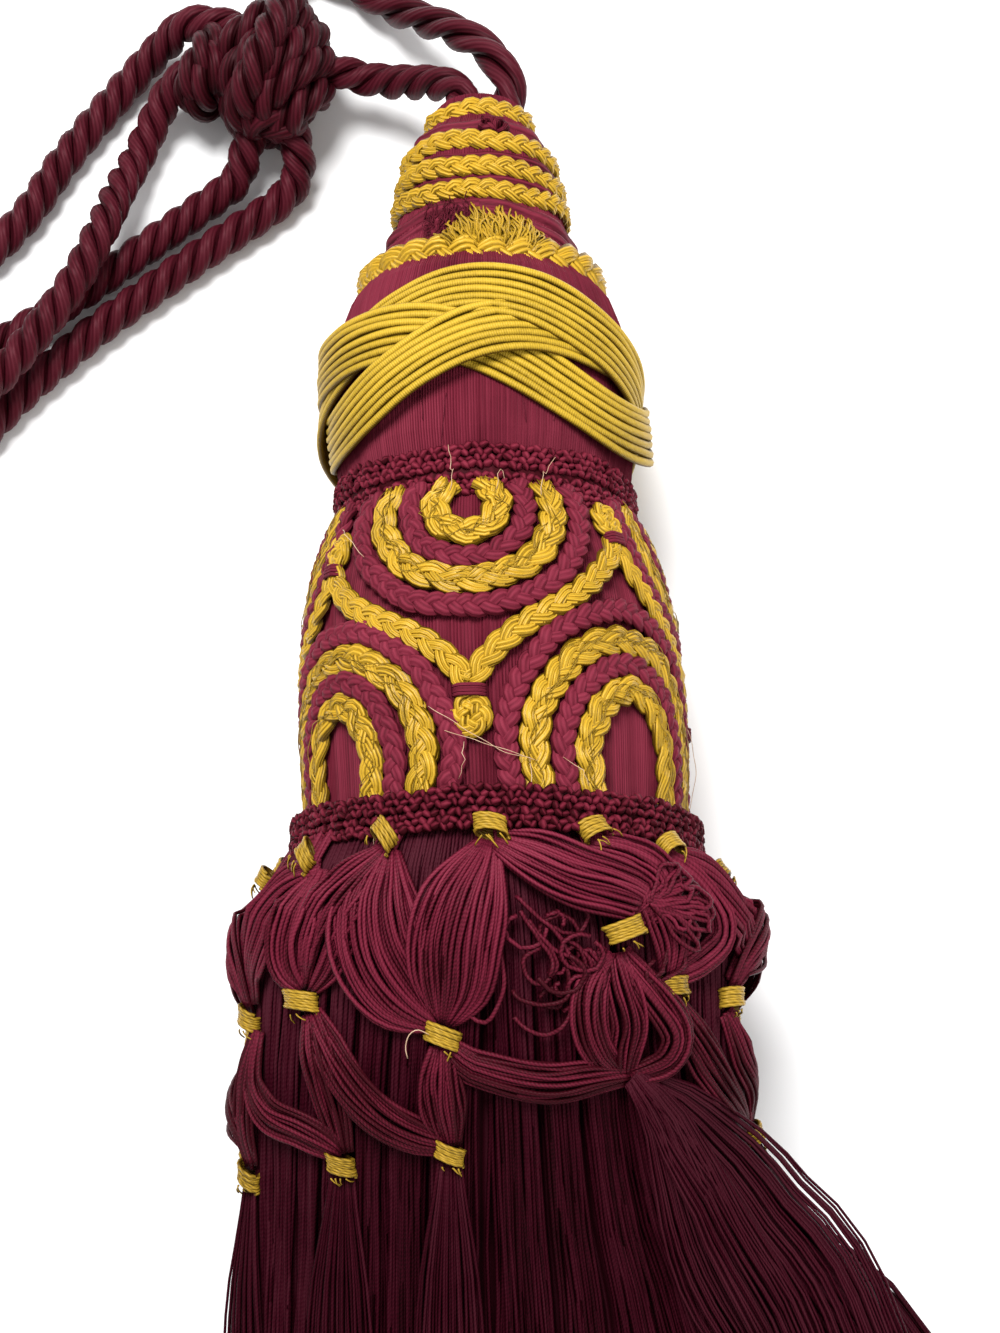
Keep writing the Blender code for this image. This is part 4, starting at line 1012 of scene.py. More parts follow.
def crochet_stitch(skein, station, seat, middle, number, side, rng):
    """One half of a crochet stitch: a short bend of yarn that leans towards its neighbour."""
    t = np.linspace(-1.0, 1.0, 4)
    lean = side * rng.uniform(0.3, 1.2)
    size = rng.uniform(0.85, 1.15)
    along, across = t * math.cos(lean) * STITCH_HALF * size, t * math.sin(lean) * STITCH_HALF * size
    angles = middle + rng.uniform(-0.35, 0.35) + np.degrees(along / seat)
    stations = station + across + rng.uniform(-0.25, 0.25) + trim_wave(angles, number)
    reach = seat + 1.2 + 0.55 * (1.0 - t * t) + rng.uniform(-0.25, 0.45)
    path, outward = ring_places(angles, reach, stations)
    girth = STITCH_R * size * np.array((0.62, 1.0, 1.0, 0.62))
    tint = rng.uniform(0.0, 1.0) - 0.15 - TRIM_DARKER * number
    skein.tube(path, outward, girth, sides=5, tint=tint)


# ------------------------------------------------------------
# Plaits on the barrel

# Height of a plait's middle over the mould, steps along it, its yarn and its slot
PLAIT_MIDDLE = 1.35
PLAIT_STEP = {"gold": 1.15, "wine": 0.8}
FINISH_OF = {"gold": ("gold floss", "gold_plait"), "wine": ("burgundy plait", "burgundy_plait")}


def arc_path(centre_angle, centre_s, from_s, half_width, far_s, drawn_in, rng):
    """Half round with two short legs: an arch, or a half round that hangs down."""
    middle = arc_at(centre_angle)
    turns = np.linspace(0.0, math.pi, 40)
    arc = np.stack((middle - half_width * np.cos(turns), centre_s + (far_s - centre_s) * np.sin(turns)), -1)
    inner = half_width - drawn_in
    path = np.vstack(((middle - inner, from_s), arc, (middle + inner, from_s)))
    path[:, 0] += wander(rng, len(path), 0.45)
    path[:, 1] += wander(rng, len(path), 0.40)
    return path


def make_barrel_plaits():
    """The concentric sets under the bell's trim and the arches on the barrel's trim."""
    rng = np.random.default_rng(80)
    sets = [("top", number, angle, TOP_SET, TOP_SET_S, TOP_SET_FROM, TOP_DRAWN_IN)
            for number, angle in enumerate(TOP_SET_AT, 1)]
    sets += [("arch", number, angle, members, ARCH_S, ARCH_FROM, ARCH_DRAWN_IN)
             for number, (angle, members) in enumerate(zip(ARCH_AT, ARCH_SETS), 1)]
    for group, number, angle, members, station, start, drawn in sets:
        for (kind, size, half_width, far_s), drawn_in in zip(members, drawn):
            route = arc_path(angle, station, start, half_width, far_s, drawn_in, rng)
            arcs, stations = even_steps(route, PLAIT_STEP[kind]).T
            places = on_barrel(arcs, stations, PLAIT_MIDDLE)
            node = f"{group}_{number}_{kind}_{size}"
            lay_plait(f"braid_{node}", places, kind, False, rng, node, *FINISH_OF[kind])


def make_zigzag():
    """The gold zigzag with its bound feet, and the small loops at its feet and ears."""
    rng = np.random.default_rng(90)
    waves = len(TOP_SET_AT)
    half_wave = ZIGZAG[-1][0]
    path, feet, ears = [], [], []
    for number, foot in enumerate(TOP_SET_AT):
        left = ((foot - TOP_SET_AT[number - 1]) % 360.0 / 2.0 - EAR_ASIDE[number - 1]) / half_wave
        right = ((TOP_SET_AT[(number + 1) % waves] - foot) % 360.0 / 2.0 + EAR_ASIDE[number]) / half_wave
        left_drop, right_drop = EAR_DROPS[number - 1] / half_wave, EAR_DROPS[number] / half_wave
        path += [(foot - degrees * left, station - degrees * left_drop)
                 for degrees, station in reversed(ZIGZAG[1:-1])]
        path += [(foot + degrees * right, station - degrees * right_drop) for degrees, station in ZIGZAG]
        feet.append((foot, DROP_S, FOOT_BOUND_S))
        ear_s = EAR_S - EAR_DROPS[number]
        ears.append((foot + half_wave * right, ear_s, ear_s - EAR_BOUND_UNDER))
    arcs = np.array([(arc_at(angle), station) for angle, station in path])
    arcs = np.vstack((arcs, arcs[:1] + (2 * math.pi * GIRTH_R, 0.0)))
    arcs = even_steps(arcs, PLAIT_STEP["gold"])[:-1]
    places = on_barrel(arcs[:, 0], arcs[:, 1], PLAIT_MIDDLE + 0.25)
    lay_plait("braid_zigzag", places, "narrow", True, rng, "zigzag_plait")
    binding = Skein()
    for name, places_of, width in (("drop", feet, 2.7), ("ear", ears, 2.3)):
        for number, (angle, station, bound_s) in enumerate(places_of, 1):
            small_loop(f"{name}_loop_{number}", angle, station, rng)
            bind_across(binding, angle, bound_s, width, rng)
    binding.set_down("zigzag_binding", "burgundy plait", "burgundy_plait")


def small_loop(node, angle, station, rng):
    """A ring of plait at a foot or an ear of the zigzag."""
    turns = np.linspace(0.0, 2 * math.pi, 40, endpoint=False)
    arcs = arc_at(angle) + LOOP_HALF[0] * np.sin(turns)
    places = on_barrel(arcs, station + LOOP_HALF[1] * np.cos(turns), PLAIT_MIDDLE + 0.1)
    lay_plait(f"braid_{node}", places, "small", True, rng, node)


def bind_across(skein, angle, station, half_width, rng):
    """A few turns of thread across two plaits where they are drawn together."""
    across = np.linspace(-1.15, 1.15, 15)
    heights = 3.05 - 3.2 * np.maximum(np.abs(across) - 0.55, 0.0) ** 1.5
    for turn in range(4):
        stations = np.full(15, station + (turn - 1.5) * 0.62 + rng.uniform(-0.1, 0.1))
        path, outward = on_barrel(arc_at(angle) + across * half_width, stations, heights)
        skein.tube(path, outward, 0.40, sides=6, tint=rng.uniform(0.1, 0.5))


# ------------------------------------------------------------
# Skirt: fringe and net

def skirt_places(angles, ys, out, depth=1.0):
    """Points of the skirt on the floor frame, this far outside its outline, at a share of the way out."""
    angles, ys, out = np.broadcast_arrays(np.asarray(angles, float), np.asarray(ys, float), out)
    left, right, top = (from_rows(SKIRT, ys, column) for column in (1, 2, 3))
    turn = np.radians(angles)
    power = 2.0 / (2.0 + (SKIRT_SQUARE - 2.0) * np.clip(ys / SQUARE_BY, 0.0, 1.0))
    across = np.sign(np.sin(turn)) * np.abs(np.sin(turn)) ** power
    up = np.sign(np.cos(turn)) * np.abs(np.cos(turn)) ** power
    half_h = top / 2.0 + out
    fanned = np.clip(across * depth + 0.1, 0.0, 1.1) / 1.1
    height = np.maximum(top / 2.0 + half_h * up * depth, 0.6)
    leaning, upright = LEAN_FADES
    lean = math.tan(TILT) * np.clip((ys - upright) / (leaning - upright), 0.0, 1.0)
    x = (left + out) * across * depth + (right - left) * fanned ** 2
    return np.stack((x, ys + (height - AXIS_HEIGHT) * lean, height), -1) + FLOOR_FRAME


def skirt_outward(angles, ys):
    """Directions out of the skirt at its outline."""
    here = skirt_places(angles, ys, 0.0)
    beside = skirt_places(np.asarray(angles) + 2.0, ys, 0.0) - here
    below = skirt_places(angles, np.asarray(ys) - 1.0, 0.0) - here
    return -unit(np.cross(beside, below))


def lay_thread(skein, angles, ys, out, girth, depth=1.0, **looks):
    """A thread that follows the skirt."""
    skein.tube(skirt_places(angles, ys, out, depth), skirt_outward(angles, ys), girth, **looks)


def lock_end(angle):
    """Where the fringe ends at this angle."""
    return -FRINGE_LENGTH * (1.0 - FAN_SHORTER * max(0.0, math.sin(math.radians(angle))))


# Points along a strand; where the lower strands come free of the net, and how far out they then are
STRAND_POINTS, FREE_FROM, FREE_OVER, FREE_OUT = 15, -92.0, 30.0, -1.4


def make_fringe():
    rng = np.random.default_rng(120)
    skein = Skein()
    radius = bpy.context.scene.tassel_sizes.fringe_thread / MM / 2.0
    clump_count = round(360.0 / CLUMP)
    for depth, count, under in FRINGE_SHELLS:
        clumps = rng.uniform(-1.0, 1.0, clump_count)
        for k in range(count):
            turn = 2 * math.pi * (k + rng.uniform(-0.3, 0.3)) / count
            angle = math.degrees(turn - FRINGE_CROWDED * math.sin(turn))
            end = lock_end(angle) * rng.uniform(0.975, 1.0)
            ys = np.linspace(-1.5, end, STRAND_POINTS)
            t = np.linspace(0.0, 1.0, STRAND_POINTS)
            pull = clumps[int(angle / CLUMP) % clump_count]
            nearest = (math.floor(angle / CLUMP) + 0.5) * CLUMP
            bent = angle + (nearest - angle) * 0.30 * np.sin(math.pi * t) + pull * 1.6 * t
            bent = bent + wander(rng, STRAND_POINTS, 0.5, 1.5)
            free = np.clip((FREE_FROM - ys) / FREE_OVER, 0.0, 1.0)
            out = -under + (under + FREE_OUT) * free + wander(rng, STRAND_POINTS, 0.6, 2.0)
            lay_thread(skein, bent, ys, out, radius * 0.72, depth, sides=4,
                       tint=rng.uniform(0.0, 1.0) + painted_fringe_shade(bent, ys))
    skein.set_down("fringe_strands", "fringe yarn", "fringe_yarn", "fringe")
    fringe_core(rng)


def painted_fringe_shade(angles, ys):
    """Painted light and shade: threads are painted paler near their heads and at the sides, where light
    falls, and darker in the middle, where shade falls.
    """
    aside = np.abs((np.asarray(angles) - 8.0 + 180.0) % 360.0 - 180.0)
    heads = 1.15 * np.clip((ys + 55.0) / 45.0, 0.0, 1.0)
    return heads + 0.55 * np.clip((aside - 18.0) / 45.0, 0.0, 1.0) - 0.40


def painted_net_shade(ys):
    """Painted shade: the net is painted darker lower down, where less light reaches it."""
    return -0.80 * np.clip((-20.0 - np.asarray(ys)) / 30.0, 0.0, 1.0)


def fringe_core(rng):
    """The mass of threads inside the fringe, closed over at both ends."""
    around, rows = 160, 26
    angles = np.linspace(-180.0, 180.0, around, endpoint=False)
    ys = np.linspace(-1.0, CORE_SHORTER - FRINGE_LENGTH, rows)
    grid = np.stack([skirt_places(angles, np.full(around, y), -CORE_UNDER, CORE_DEPTH) for y in ys])
    ridges = 0.5 * np.where(np.arange(around) % 2 == 0, 1.0, -1.0)
    grid += unit(grid - grid.mean(axis=1, keepdims=True)) * ridges[None, :, None]
    grid[..., 2] = np.maximum(grid[..., 2], 0.3)
    near = np.arange(around)
    far = (near + 1) % around
    faces = [quad for row in range(0, (rows - 1) * around, around)
             for quad in np.stack((near + row, far + row, far + row + around, near + row + around), -1)]
    faces += [near[::-1], near + (rows - 1) * around]
    mesh = bpy.data.meshes.new("fringe_core")
    mesh.from_pydata((grid.reshape(-1, 3) * MM).tolist(), [], [face.tolist() for face in faces])
    column = np.tile(near, rows)
    map_mould(mesh, grid[..., 1].ravel(), column / around, rng, around, column)
    core = shown_piece(mesh, yarn_finish("fringe mass"))
    deselect_all()
    bpy.context.view_layer.objects.active = core
    core.select_set(True)
    face_outwards()
    settle(core, "fringe_yarn")


def tie_facts(row, place):
    """Angle, upper end, lower end and lean of one bound tie."""
    place = place % NET_AROUND
    upper, lower = TIE_ROWS[row]
    angle = NET_FRONT + 360.0 / NET_AROUND * (place + (0.5 if row == 1 else 0.0))
    if (row, place) not in PLACED_TIES:
        return angle, upper, lower, 0.0
    its_angle, middle, lean = PLACED_TIES[row, place]
    turns = round((angle - its_angle) / 360.0)
    half = (upper - lower) / 2.0
    return its_angle + 360.0 * turns, middle + half, middle - half, lean


def bound_tie(skein, row, place, rng):
    """Slanting turns of gold thread bound round a bundle, and the ends they leave."""
    angle, upper, lower, lean = tie_facts(row, place)
    tie_w, tie_t, turns, out = TIE_SIZES[row]
    out += RAISED_TIES.get((row, place), 0.0)
    tie_w *= rng.uniform(0.92, 1.06)
    count = turns * 12
    share = np.linspace(0.0, 1.0, count)
    turn = 2 * math.pi * turns * share
    middle = skirt_places(angle, (upper + lower) / 2.0, out)
    outward = skirt_outward(np.array([angle]), np.array([(upper + lower) / 2.0]))[0]
    down = unit(skirt_places(angle, lower, out) - skirt_places(angle, upper, out))
    side = np.cross(outward, down)
    slant = math.radians(lean)
    aslant = down * math.cos(slant) + side * math.sin(slant)
    down, side = aslant, side * math.cos(slant) - down * math.sin(slant)
    length = upper - lower
    waist = 1.0 - 0.10 * np.sin(math.pi * share) + wander(rng, count, 0.05, 5.0)
    reach = side * (np.cos(turn) * tie_w / 2.0 * waist)[:, None]
    reach = reach + outward * (np.sin(turn) * tie_t / 2.0 * waist)[:, None]
    slope = 1.0 * np.cos(turn + 0.5) + wander(rng, count, 0.15, 6.0)
    path = middle + reach + down * ((share - 0.5) * length * 0.50 + slope)[:, None]
    skein.tube(path, unit(reach), TIE_THREAD, sides=5, tint=rng.uniform(0.3, 0.8))
    t = np.linspace(0.0, 1.0, 6)[:, None]
    for _ in range(rng.integers(2, 6)):
        start = middle + side * rng.uniform(-0.4, 0.4) * tie_w + outward * tie_t * 0.4 + down * length * 0.3
        bend = down * rng.uniform(1.0, 2.6) + side * rng.uniform(-2.0, 2.0) + outward * rng.uniform(-0.6, 1.0)
        skein.tube(start + bend * t - outward * 1.6 * t * t, outward + np.zeros((6, 3)), TIE_END_R, sides=4,
                   tint=rng.uniform(0.5, 1.0))


def bundle(skein, route, count, rng, radius, steps=22, swell=0.0, shade=0.0):
    """Parallel threads along a route of (angle, y, height over the skirt, width of the bundle)."""
    count, radius = round(count * THREADS_FINER), radius / THREADS_FINER ** 0.72
    route = smooth_route(route, 1.0)
    lengths = np.linspace(0.0, 1.0, len(route))
    wanted = np.linspace(0.0, 1.0, steps)
    angles, ys, outs, widths = (np.interp(wanted, lengths, column) for column in route.T)
    middle = skirt_places(angles, ys, outs)
    outward = skirt_outward(angles, ys)
    across = unit(np.cross(outward, headings(middle)))
    free = np.sin(math.pi * wanted)
    order = rng.permutation(count)
    for k in range(count):
        share = (k + 0.5 + rng.uniform(-0.3, 0.3)) / count - 0.5
        layer = (order[k] % 3 - 1) * 0.55 + swell * (0.25 - share * share) * 4.0
        shift = share * widths + wander(rng, steps, 0.5, 0.8) * free
        lift = layer * (0.25 + 0.75 * free) + wander(rng, steps, 0.22, 1.2)
        path = middle + across * shift[:, None] + outward * lift[:, None]
        # Painted shade lower down on the net, plus the painted light that "shade" adds over the whole bundle
        skein.tube(path, outward, radius, sides=4, tint=rng.uniform(0.0, 1.0) + painted_net_shade(ys) + shade)


def make_net():
    rng = np.random.default_rng(140)
    radius = bpy.context.scene.tassel_sizes.net_thread / MM / 2.0
    ties, front, around, hanging = Skein(), Skein(), Skein(), Skein()
    for row in range(len(TIE_ROWS)):
        for place in range(NET_AROUND):
            if (row, place) not in HIDDEN_TIES:
                bound_tie(ties, row, place, rng)
    for points, count, width, ride in FRONT_BUNDLES:
        full = np.sin(math.pi * np.linspace(0.0, 1.0, len(points)))
        widths = BUNDLE_NECK + (width - BUNDLE_NECK) * full ** 0.62
        route = np.column_stack((points, BUNDLE_SEAT + (ride + 1.0) * full, widths))
        bundle(front, route, count, rng, radius, steps=20, swell=1.0)
    plain_bundles(around, rng, radius)
    tangles(front, rng, radius)
    tails(around, hanging, rng, radius)
    front.set_down("net_threads_front", "net cord", "net_cord")
    around.set_down("net_threads", "net cord", "net_cord", "net")
    hanging.set_down("net_tails", "fringe yarn", "fringe_yarn")
    ties.set_down("gold_ties", "gold binding", "gold_plait")
    loose = Skein()
    lay_thread(loose, *smooth_route(LOOSE_END, 0.7).T, LOOSE_END_R, sides=4)
    settle(loose.piece("loose_end", hair_finish()), "gold_plait")


def plain_bundles(skein, rng, radius):
    """Bundles between the ties at the sides and underneath."""
    # Rows of ties with the places that bundles leave, how far these puff out, their width and threads
    for row, places, puff, wide, count in ((0, range(3, 12), 1.6, 12.0, 11), (1, range(3, 11), 0.2, 8.0, 8)):
        for place in places:
            angle, _, lower, _ = tie_facts(row, place)
            for side in (-1, 1):
                goal, goal_top, _, _ = tie_facts(row + 1, place + (side - 1) // 2 + row)
                goal = goal - 360.0 * round((goal - angle) / 360.0)
                gap, turn = lower - goal_top, goal - angle
                route = ((angle + 1.2 * side, lower + 2.0, BUNDLE_SEAT, 3.6),
                         (angle + turn * 0.15, lower - gap * 0.25, puff - 0.9, wide * 0.85),
                         (angle + turn * 0.50, lower - gap * 0.55, puff, wide),
                         (angle + turn * 0.88, lower - gap * 0.86, puff - 1.2, wide * 0.5),
                         (goal - 1.2 * side, goal_top - 2.0, BUNDLE_SEAT, 3.4))
                bundle(skein, route, count, rng, radius, steps=16, swell=0.7)


def tails(skein, hanging, rng, radius):
    """What goes into the first ties from above, what hangs out of the last ones, and the loose sweeps."""
    for place in range(NET_AROUND):
        angle, upper, lower, _ = tie_facts(0, place)
        route = ((angle, 0.5, -2.4, 8.0), (angle, upper - 1.5, -1.8, 5.0), (angle, lower, -1.8, 4.4))
        bundle(skein, route, 9, rng, radius, steps=5)
        if (2, place) in HIDDEN_TIES:
            continue
        angle, _, lower, _ = tie_facts(2, place)
        route = ((angle, lower + 3.0, BUNDLE_SEAT, 4.0), (angle, lower - 7.0, -1.4, 7.0),
                 (angle, lower - 28.0, -1.2, 13.0), (angle, lock_end(angle), -1.0, 19.0))
        # The tails are painted lighter by "shade", as painted light that takes back most of the net's painted
        # shade
        bundle(hanging, route, 14, rng, radius * 0.74, steps=14, shade=0.75)
    for points, count, width, ride in SWEEPS:
        share = np.linspace(0.0, 1.0, len(points))
        widths = 4.0 + (width - 4.0) * np.minimum(share * 2.2, 1.0)
        route = np.column_stack((points, np.full(len(points), ride), widths))
        # The sweeps are painted lighter still, as painted light on the fan that spreads to the right
        bundle(hanging, route, round(count * 1.5), rng, radius * 0.66, steps=20, shade=1.15)


# Loops of slack cord by the displaced tie: how many, points in one
SLACK_LOOPS, LOOP_POINTS, BOW_POINTS = 12, 14, 22
# Degrees round the skirt to a millimetre there
BOW_DEGREES = math.degrees(1.0) / 46.0


def tangles(skein, rng, radius):
    """Cords that hang slack by the displaced tie, and bows behind it."""
    slack = radius * SLACK_SHARE
    for points in SLACK_RUNS:
        angles, ys = smooth_route(points, 0.9).T
        count = len(ys)
        outs = -0.8 + 1.2 * np.sin(np.linspace(0.0, math.pi, count)) + wander(rng, count, 0.5)
        lay_thread(skein, angles, ys, outs, slack, sides=5, tint=rng.uniform(-0.5, 0.1))
    for loop in range(SLACK_LOOPS):
        t = np.linspace(rng.uniform(0.0, 2.0), rng.uniform(4.4, 6.6), LOOP_POINTS) + loop
        size = rng.uniform(1.6, 4.8)
        angles = rng.uniform(5.0, 20.0) + size * np.cos(t) + wander(rng, LOOP_POINTS, 0.35)
        ys = rng.uniform(-36.0, -21.5) + size * 0.7 * np.sin(t) + wander(rng, LOOP_POINTS, 0.3)
        outs = rng.uniform(-1.6, 1.2) + wander(rng, LOOP_POINTS, 0.5)
        lay_thread(skein, angles, ys, outs, slack, sides=5, tint=rng.uniform(-0.6, 0.2))
    t = np.linspace(0.0, 2 * math.pi, BOW_POINTS)
    out = (1.0 - np.cos(t)) / 2.0
    for along, up, width in BOWS:
        beside = np.sin(t) * np.sin(t / 2.0) ** 1.5 * width / 2.0
        length = math.hypot(along, up)
        arcs = out * along - beside * up / length + wander(rng, BOW_POINTS, 0.7)
        ys = BOWS_AT[1] + out * up + beside * along / length + wander(rng, BOW_POINTS, 0.7)
        outs = 0.6 + rng.uniform(0.8, 3.0) * out + wander(rng, BOW_POINTS, 0.3)
        lay_thread(skein, BOWS_AT[0] + arcs * BOW_DEGREES, ys, outs, radius * 0.78, sides=5,
                   tint=rng.uniform(-0.4, 0.5))


# ------------------------------------------------------------
# Loose hairs and frays

# Pale hairs over the barrel: runs of (angle, station)
LONG_HAIRS = (
    ((-12.0, 72.0), (-11.0, 66.0), (-12.0, 60.5)), ((25.0, 70.5), (21.5, 66.5), (18.5, 60.0)),
    ((-18.0, 17.5), (-7.0, 12.5), (1.5, 8.5), (9.5, 7.5)), ((-15.0, 13.0), (-5.0, 10.5), (11.0, 7.0)),
    ((-8.0, 10.5), (-8.5, 6.5), (-10.0, 3.5)), ((9.5, 7.5), (10.0, 0.5), (13.0, -6.0)),
    ((-35.0, 0.5), (-33.5, -4.0), (-33.5, -9.0)), ((19.0, 8.0), (26.5, 3.0)),
    ((-54.0, 57.0), (-46.0, 53.5), (-40.5, 49.0)), ((4.0, 60.5), (5.0, 64.0), (7.0, 63.0)),
    ((140.0, 40.0), (152.0, 30.0), (158.0, 16.0)), ((80.0, 20.0), (92.0, 12.0), (96.0, 2.0)),
)


# Hairs and threads: how many, half their girth
PALE_R, BELL_HAIRS, BELL_HAIR_R, FRAYS, FRAY_R, NECK_HAIRS, NECK_HAIR_R = 0.065, 36, 0.09, 290, 0.25, 60, 0.15
# The frayed end on the neck: angle of its middle, station of its foot, height, and how that falls aside
FRAY_ANGLE, FRAY_S, FRAY_TALL, FRAY_FALLS = 7.0, 117.6, 12.5, 0.017


def make_hairs():
    rng = np.random.default_rng(200)
    pale, wine, gold = Skein(), Skein(), Skein()
    for points in LONG_HAIRS:
        arcs, stations = smooth_route([(arc_at(angle), station) for angle, station in points], 1.2).T
        heights = 2.6 + 1.6 * np.sin(np.linspace(0.0, math.pi, len(arcs)))
        path, outward = on_barrel(arcs, stations, heights, ALL_MOULDS)
        path[:, 0] += wander(rng, len(path), 0.5, 1.5)
        pale.tube(path, outward, PALE_R, sides=4, tint=rng.random())
    for _ in range(BELL_HAIRS):
        angle = rng.uniform(-180.0, 180.0)
        t = np.linspace(0.0, 1.0, 10)
        stations = rng.uniform(82.0, 96.0) - t * rng.uniform(6.0, 14.0)
        angles = angle + rng.uniform(-3.0, 3.0) * t + wander(rng, 10, 0.35, 0.8)
        path, outward = on_mould(BELL, angles, stations, 0.16 + 0.08 * np.sin(t * 9.0))
        wine.tube(path, outward, BELL_HAIR_R, sides=3, tint=rng.uniform(0.8, 1.6))
    for _ in range(FRAYS):
        t = np.linspace(0.0, 1.0, 8)
        angle = rng.uniform(-12.0, 27.0)
        tall = (FRAY_TALL - FRAY_FALLS * (angle - FRAY_ANGLE) ** 2) * rng.uniform(0.45, 1.0)
        spread = (angle - FRAY_ANGLE) * 0.45 + rng.uniform(-7.0, 7.0)
        angles = angle + spread * t + wander(rng, 8, 1.8, 0.8)
        stations = FRAY_S + rng.uniform(-1.6, 1.4) + t * tall
        radii = from_rows(NECK, stations, 1) + rng.uniform(1.4, 4.6) * np.sin(math.pi * (0.25 + 0.72 * t))
        path, outward = ring_places(angles, radii, stations)
        gold.tube(path, outward, FRAY_R, sides=4, tint=rng.uniform(0.2, 0.9) + 0.5 * t)
    for _ in range(NECK_HAIRS):
        t = np.linspace(0.0, 1.0, 7)
        stations = rng.uniform(121.0, 127.0) + t * rng.uniform(2.0, 6.0)
        radii = from_rows(NECK, stations, 1) + 0.6 + rng.uniform(0.2, 1.6) * t
        angles = rng.uniform(-34.0, -8.0) + wander(rng, 7, 2.5, 1.0)
        path, outward = ring_places(angles, radii, stations)
        wine.tube(path, outward, NECK_HAIR_R, sides=3, tint=rng.uniform(0.0, 0.9))
    settle(pale.piece("pale_hairs", hair_finish()), "gold_plait")
    wine.set_down("bell_hairs", "burgundy plait", "burgundy_thread")
    gold.set_down("neck_fray", "gold floss", "gold_plait")


# ------------------------------------------------------------
# The add-on

def length_property(label, text, value):
    return bpy.props.FloatProperty(name=label, description=text, default=value, min=0.0, unit="LENGTH",
                                   precision=5)


def colour_property(label, text, value):
    return bpy.props.FloatVectorProperty(name=label, description=text, default=value, size=3, min=0.0,
                                         max=1.0, subtype="COLOR")


class TasselSizes(bpy.types.PropertyGroup):
    """Sizes that a user may change"""

    rope_thickness: length_property("Rope", "Thickness of the tieback's rope", 0.0085)
    fringe_thread: length_property("Fringe thread", "Thickness of a thread of the fringe", 0.00118)
    net_thread: length_property("Net thread", "Thickness of a corded thread of the net", 0.00125)
    table_side: length_property("Table", "Side of the table top", 6.0)


class TasselColours(bpy.types.PropertyGroup):
    """Colours that a user may change"""

    rope: colour_property("Rope", "Satin of the rope", (0.051, 0.0042, 0.0093))
    thread: colour_property("Mould thread", "Thread of moulds and burgundy plaits", (0.130, 0.0130, 0.0265))
    crochet: colour_property("Crochet", "Yarn of the two trims", (0.112, 0.0090, 0.0200))
    gold: colour_property("Gold floss", "Silk of the gold plaits", (0.345, 0.204, 0.0110))
    # The ties' gold is a darker copy of the plaits' gold, as painted shade where the ties lie on the skirt
    tie: colour_property("Gold ties", "Thread of the bound ties", (0.300, 0.180, 0.015))
    gimp: colour_property("Gold gimp", "Cords of the woven band", (0.352, 0.224, 0.0145))
    net: colour_property("Net", "Corded thread of the net", (0.112, 0.0088, 0.0222))
    # The fringe's colour is far darker than the net's and the moulds' thread, as painted shade in the deep
    # gaps between its threads
    fringe: colour_property("Fringe", "Thread of the long fringe", (0.031, 0.0018, 0.0062))


class Maker:
    """What the add-on's operators share"""

    bl_options = {"REGISTER", "UNDO"}
    work = ()

    def execute(self, context):
        for step in self.work:
            step()
        return {"FINISHED"}


class TASSEL_OT_stage(Maker, bpy.types.Operator):
    """Set the table, the lights and the camera"""

    bl_idname = "tassel.stage"
    bl_label = "Stage"
    work = (make_stage,)


class TASSEL_OT_ropes(Maker, bpy.types.Operator):
    """Wind the knot and lay the ropes of the tieback"""

    bl_idname = "tassel.ropes"
    bl_label = "Ropes and knot"
    work = (make_knot, make_ropes)


class TASSEL_OT_moulds(Maker, bpy.types.Operator):
    """Cover the three moulds with thread"""

    bl_idname = "tassel.moulds"
    bl_label = "Moulds"
    work = (make_moulds,)


class TASSEL_OT_neck(Maker, bpy.types.Operator):
    """Wind gold plaits and burgundy cords round the neck"""

    bl_idname = "tassel.neck"
    bl_label = "Neck winding"
    work = (make_neck_winding,)


class TASSEL_OT_band(Maker, bpy.types.Operator):
    """Weave the gimp band round the bell"""

    bl_idname = "tassel.band"
    bl_label = "Woven band"
    work = (make_woven_band,)


class TASSEL_OT_trims(Maker, bpy.types.Operator):
    """Crochet the trims at the foot of the bell and of the barrel"""

    bl_idname = "tassel.trims"
    bl_label = "Crochet trims"
    work = (make_trims,)


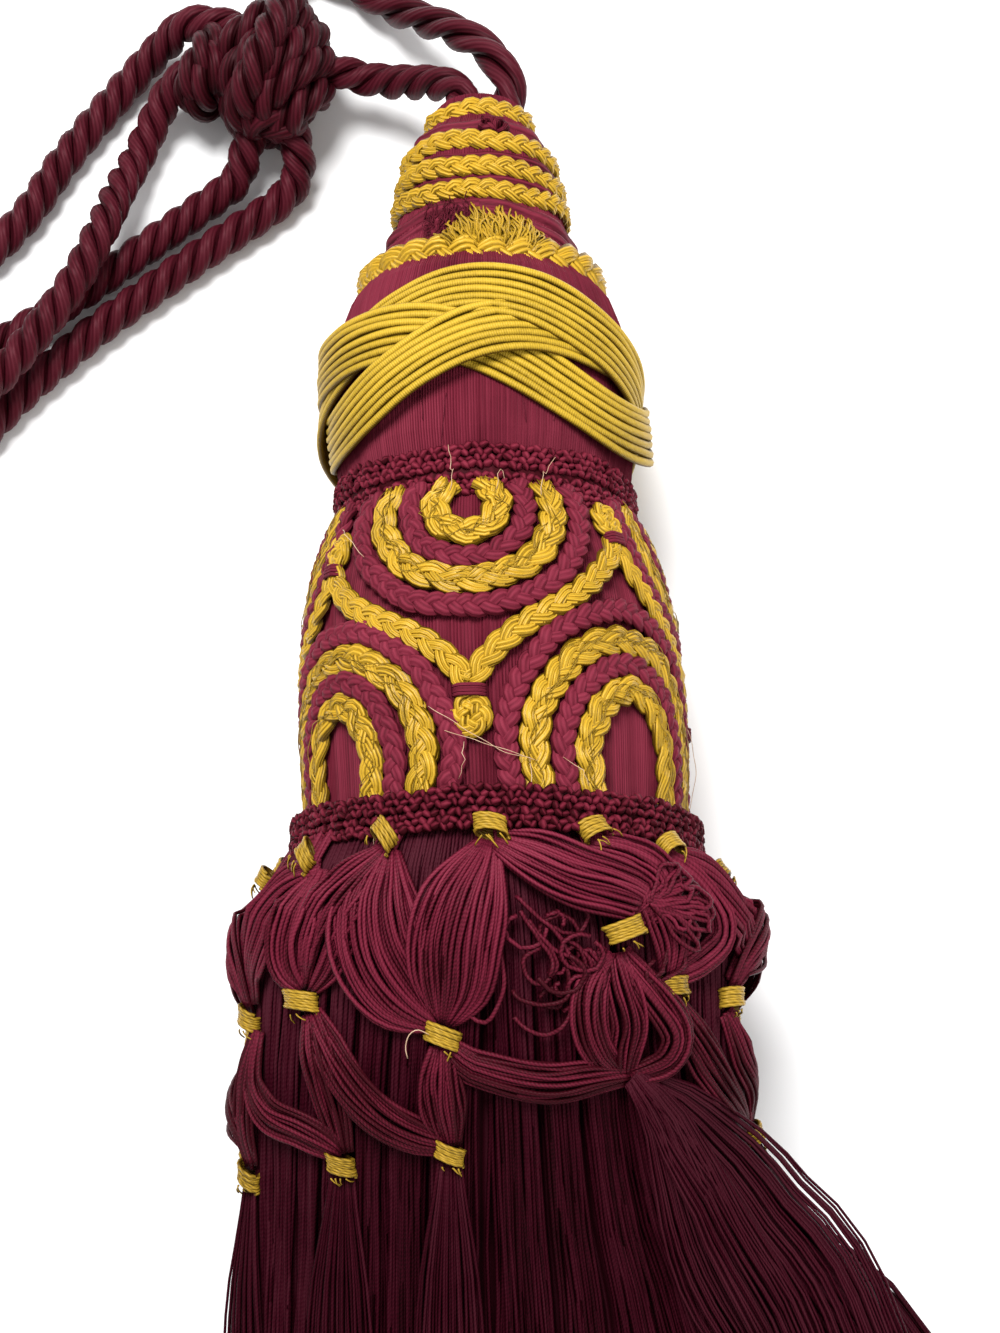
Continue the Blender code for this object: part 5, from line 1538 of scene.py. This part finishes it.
class TASSEL_OT_barrel(Maker, bpy.types.Operator):
    """Lay the plaits on the barrel"""

    bl_idname = "tassel.barrel"
    bl_label = "Barrel plaits"
    work = (make_barrel_plaits, make_zigzag)


class TASSEL_OT_fringe(Maker, bpy.types.Operator):
    """Hang the long fringe"""

    bl_idname = "tassel.fringe"
    bl_label = "Fringe"
    work = (make_fringe,)


class TASSEL_OT_net(Maker, bpy.types.Operator):
    """Bind the netted skirt over the fringe"""

    bl_idname = "tassel.net"
    bl_label = "Netted skirt"
    work = (make_net,)


class TASSEL_OT_hairs(Maker, bpy.types.Operator):
    """Add loose hairs and frays"""

    bl_idname = "tassel.hairs"
    bl_label = "Loose hairs"
    work = (make_hairs,)


OPERATORS = (TASSEL_OT_stage, TASSEL_OT_ropes, TASSEL_OT_moulds, TASSEL_OT_neck, TASSEL_OT_band,
             TASSEL_OT_trims, TASSEL_OT_barrel, TASSEL_OT_fringe, TASSEL_OT_net, TASSEL_OT_hairs)


class TASSEL_PT_makers(bpy.types.Panel):
    """Lists the makers, the sizes and the colours"""

    bl_idname = "TASSEL_PT_makers"
    bl_label = "Tieback tassel"
    bl_space_type = "VIEW_3D"
    bl_region_type = "UI"
    bl_category = "Tassel"

    def draw(self, context):
        column = self.layout.column()
        for group in (context.scene.tassel_sizes, context.scene.tassel_colours):
            for name in group.__annotations__:
                column.prop(group, name)
        for operator in OPERATORS:
            column.operator(operator.bl_idname)


CLASSES = (TasselSizes, TasselColours, *OPERATORS, TASSEL_PT_makers)


def register():
    for cls in CLASSES:
        bpy.utils.register_class(cls)
    bpy.types.Scene.tassel_sizes = bpy.props.PointerProperty(type=TasselSizes)
    bpy.types.Scene.tassel_colours = bpy.props.PointerProperty(type=TasselColours)


def unregister():
    del bpy.types.Scene.tassel_colours
    del bpy.types.Scene.tassel_sizes
    for cls in reversed(CLASSES):
        bpy.utils.unregister_class(cls)


def main():
    register()
    for operator in OPERATORS:
        group, name = operator.bl_idname.split(".")
        getattr(getattr(bpy.ops, group), name)()


if __name__ == "__main__":
    main()
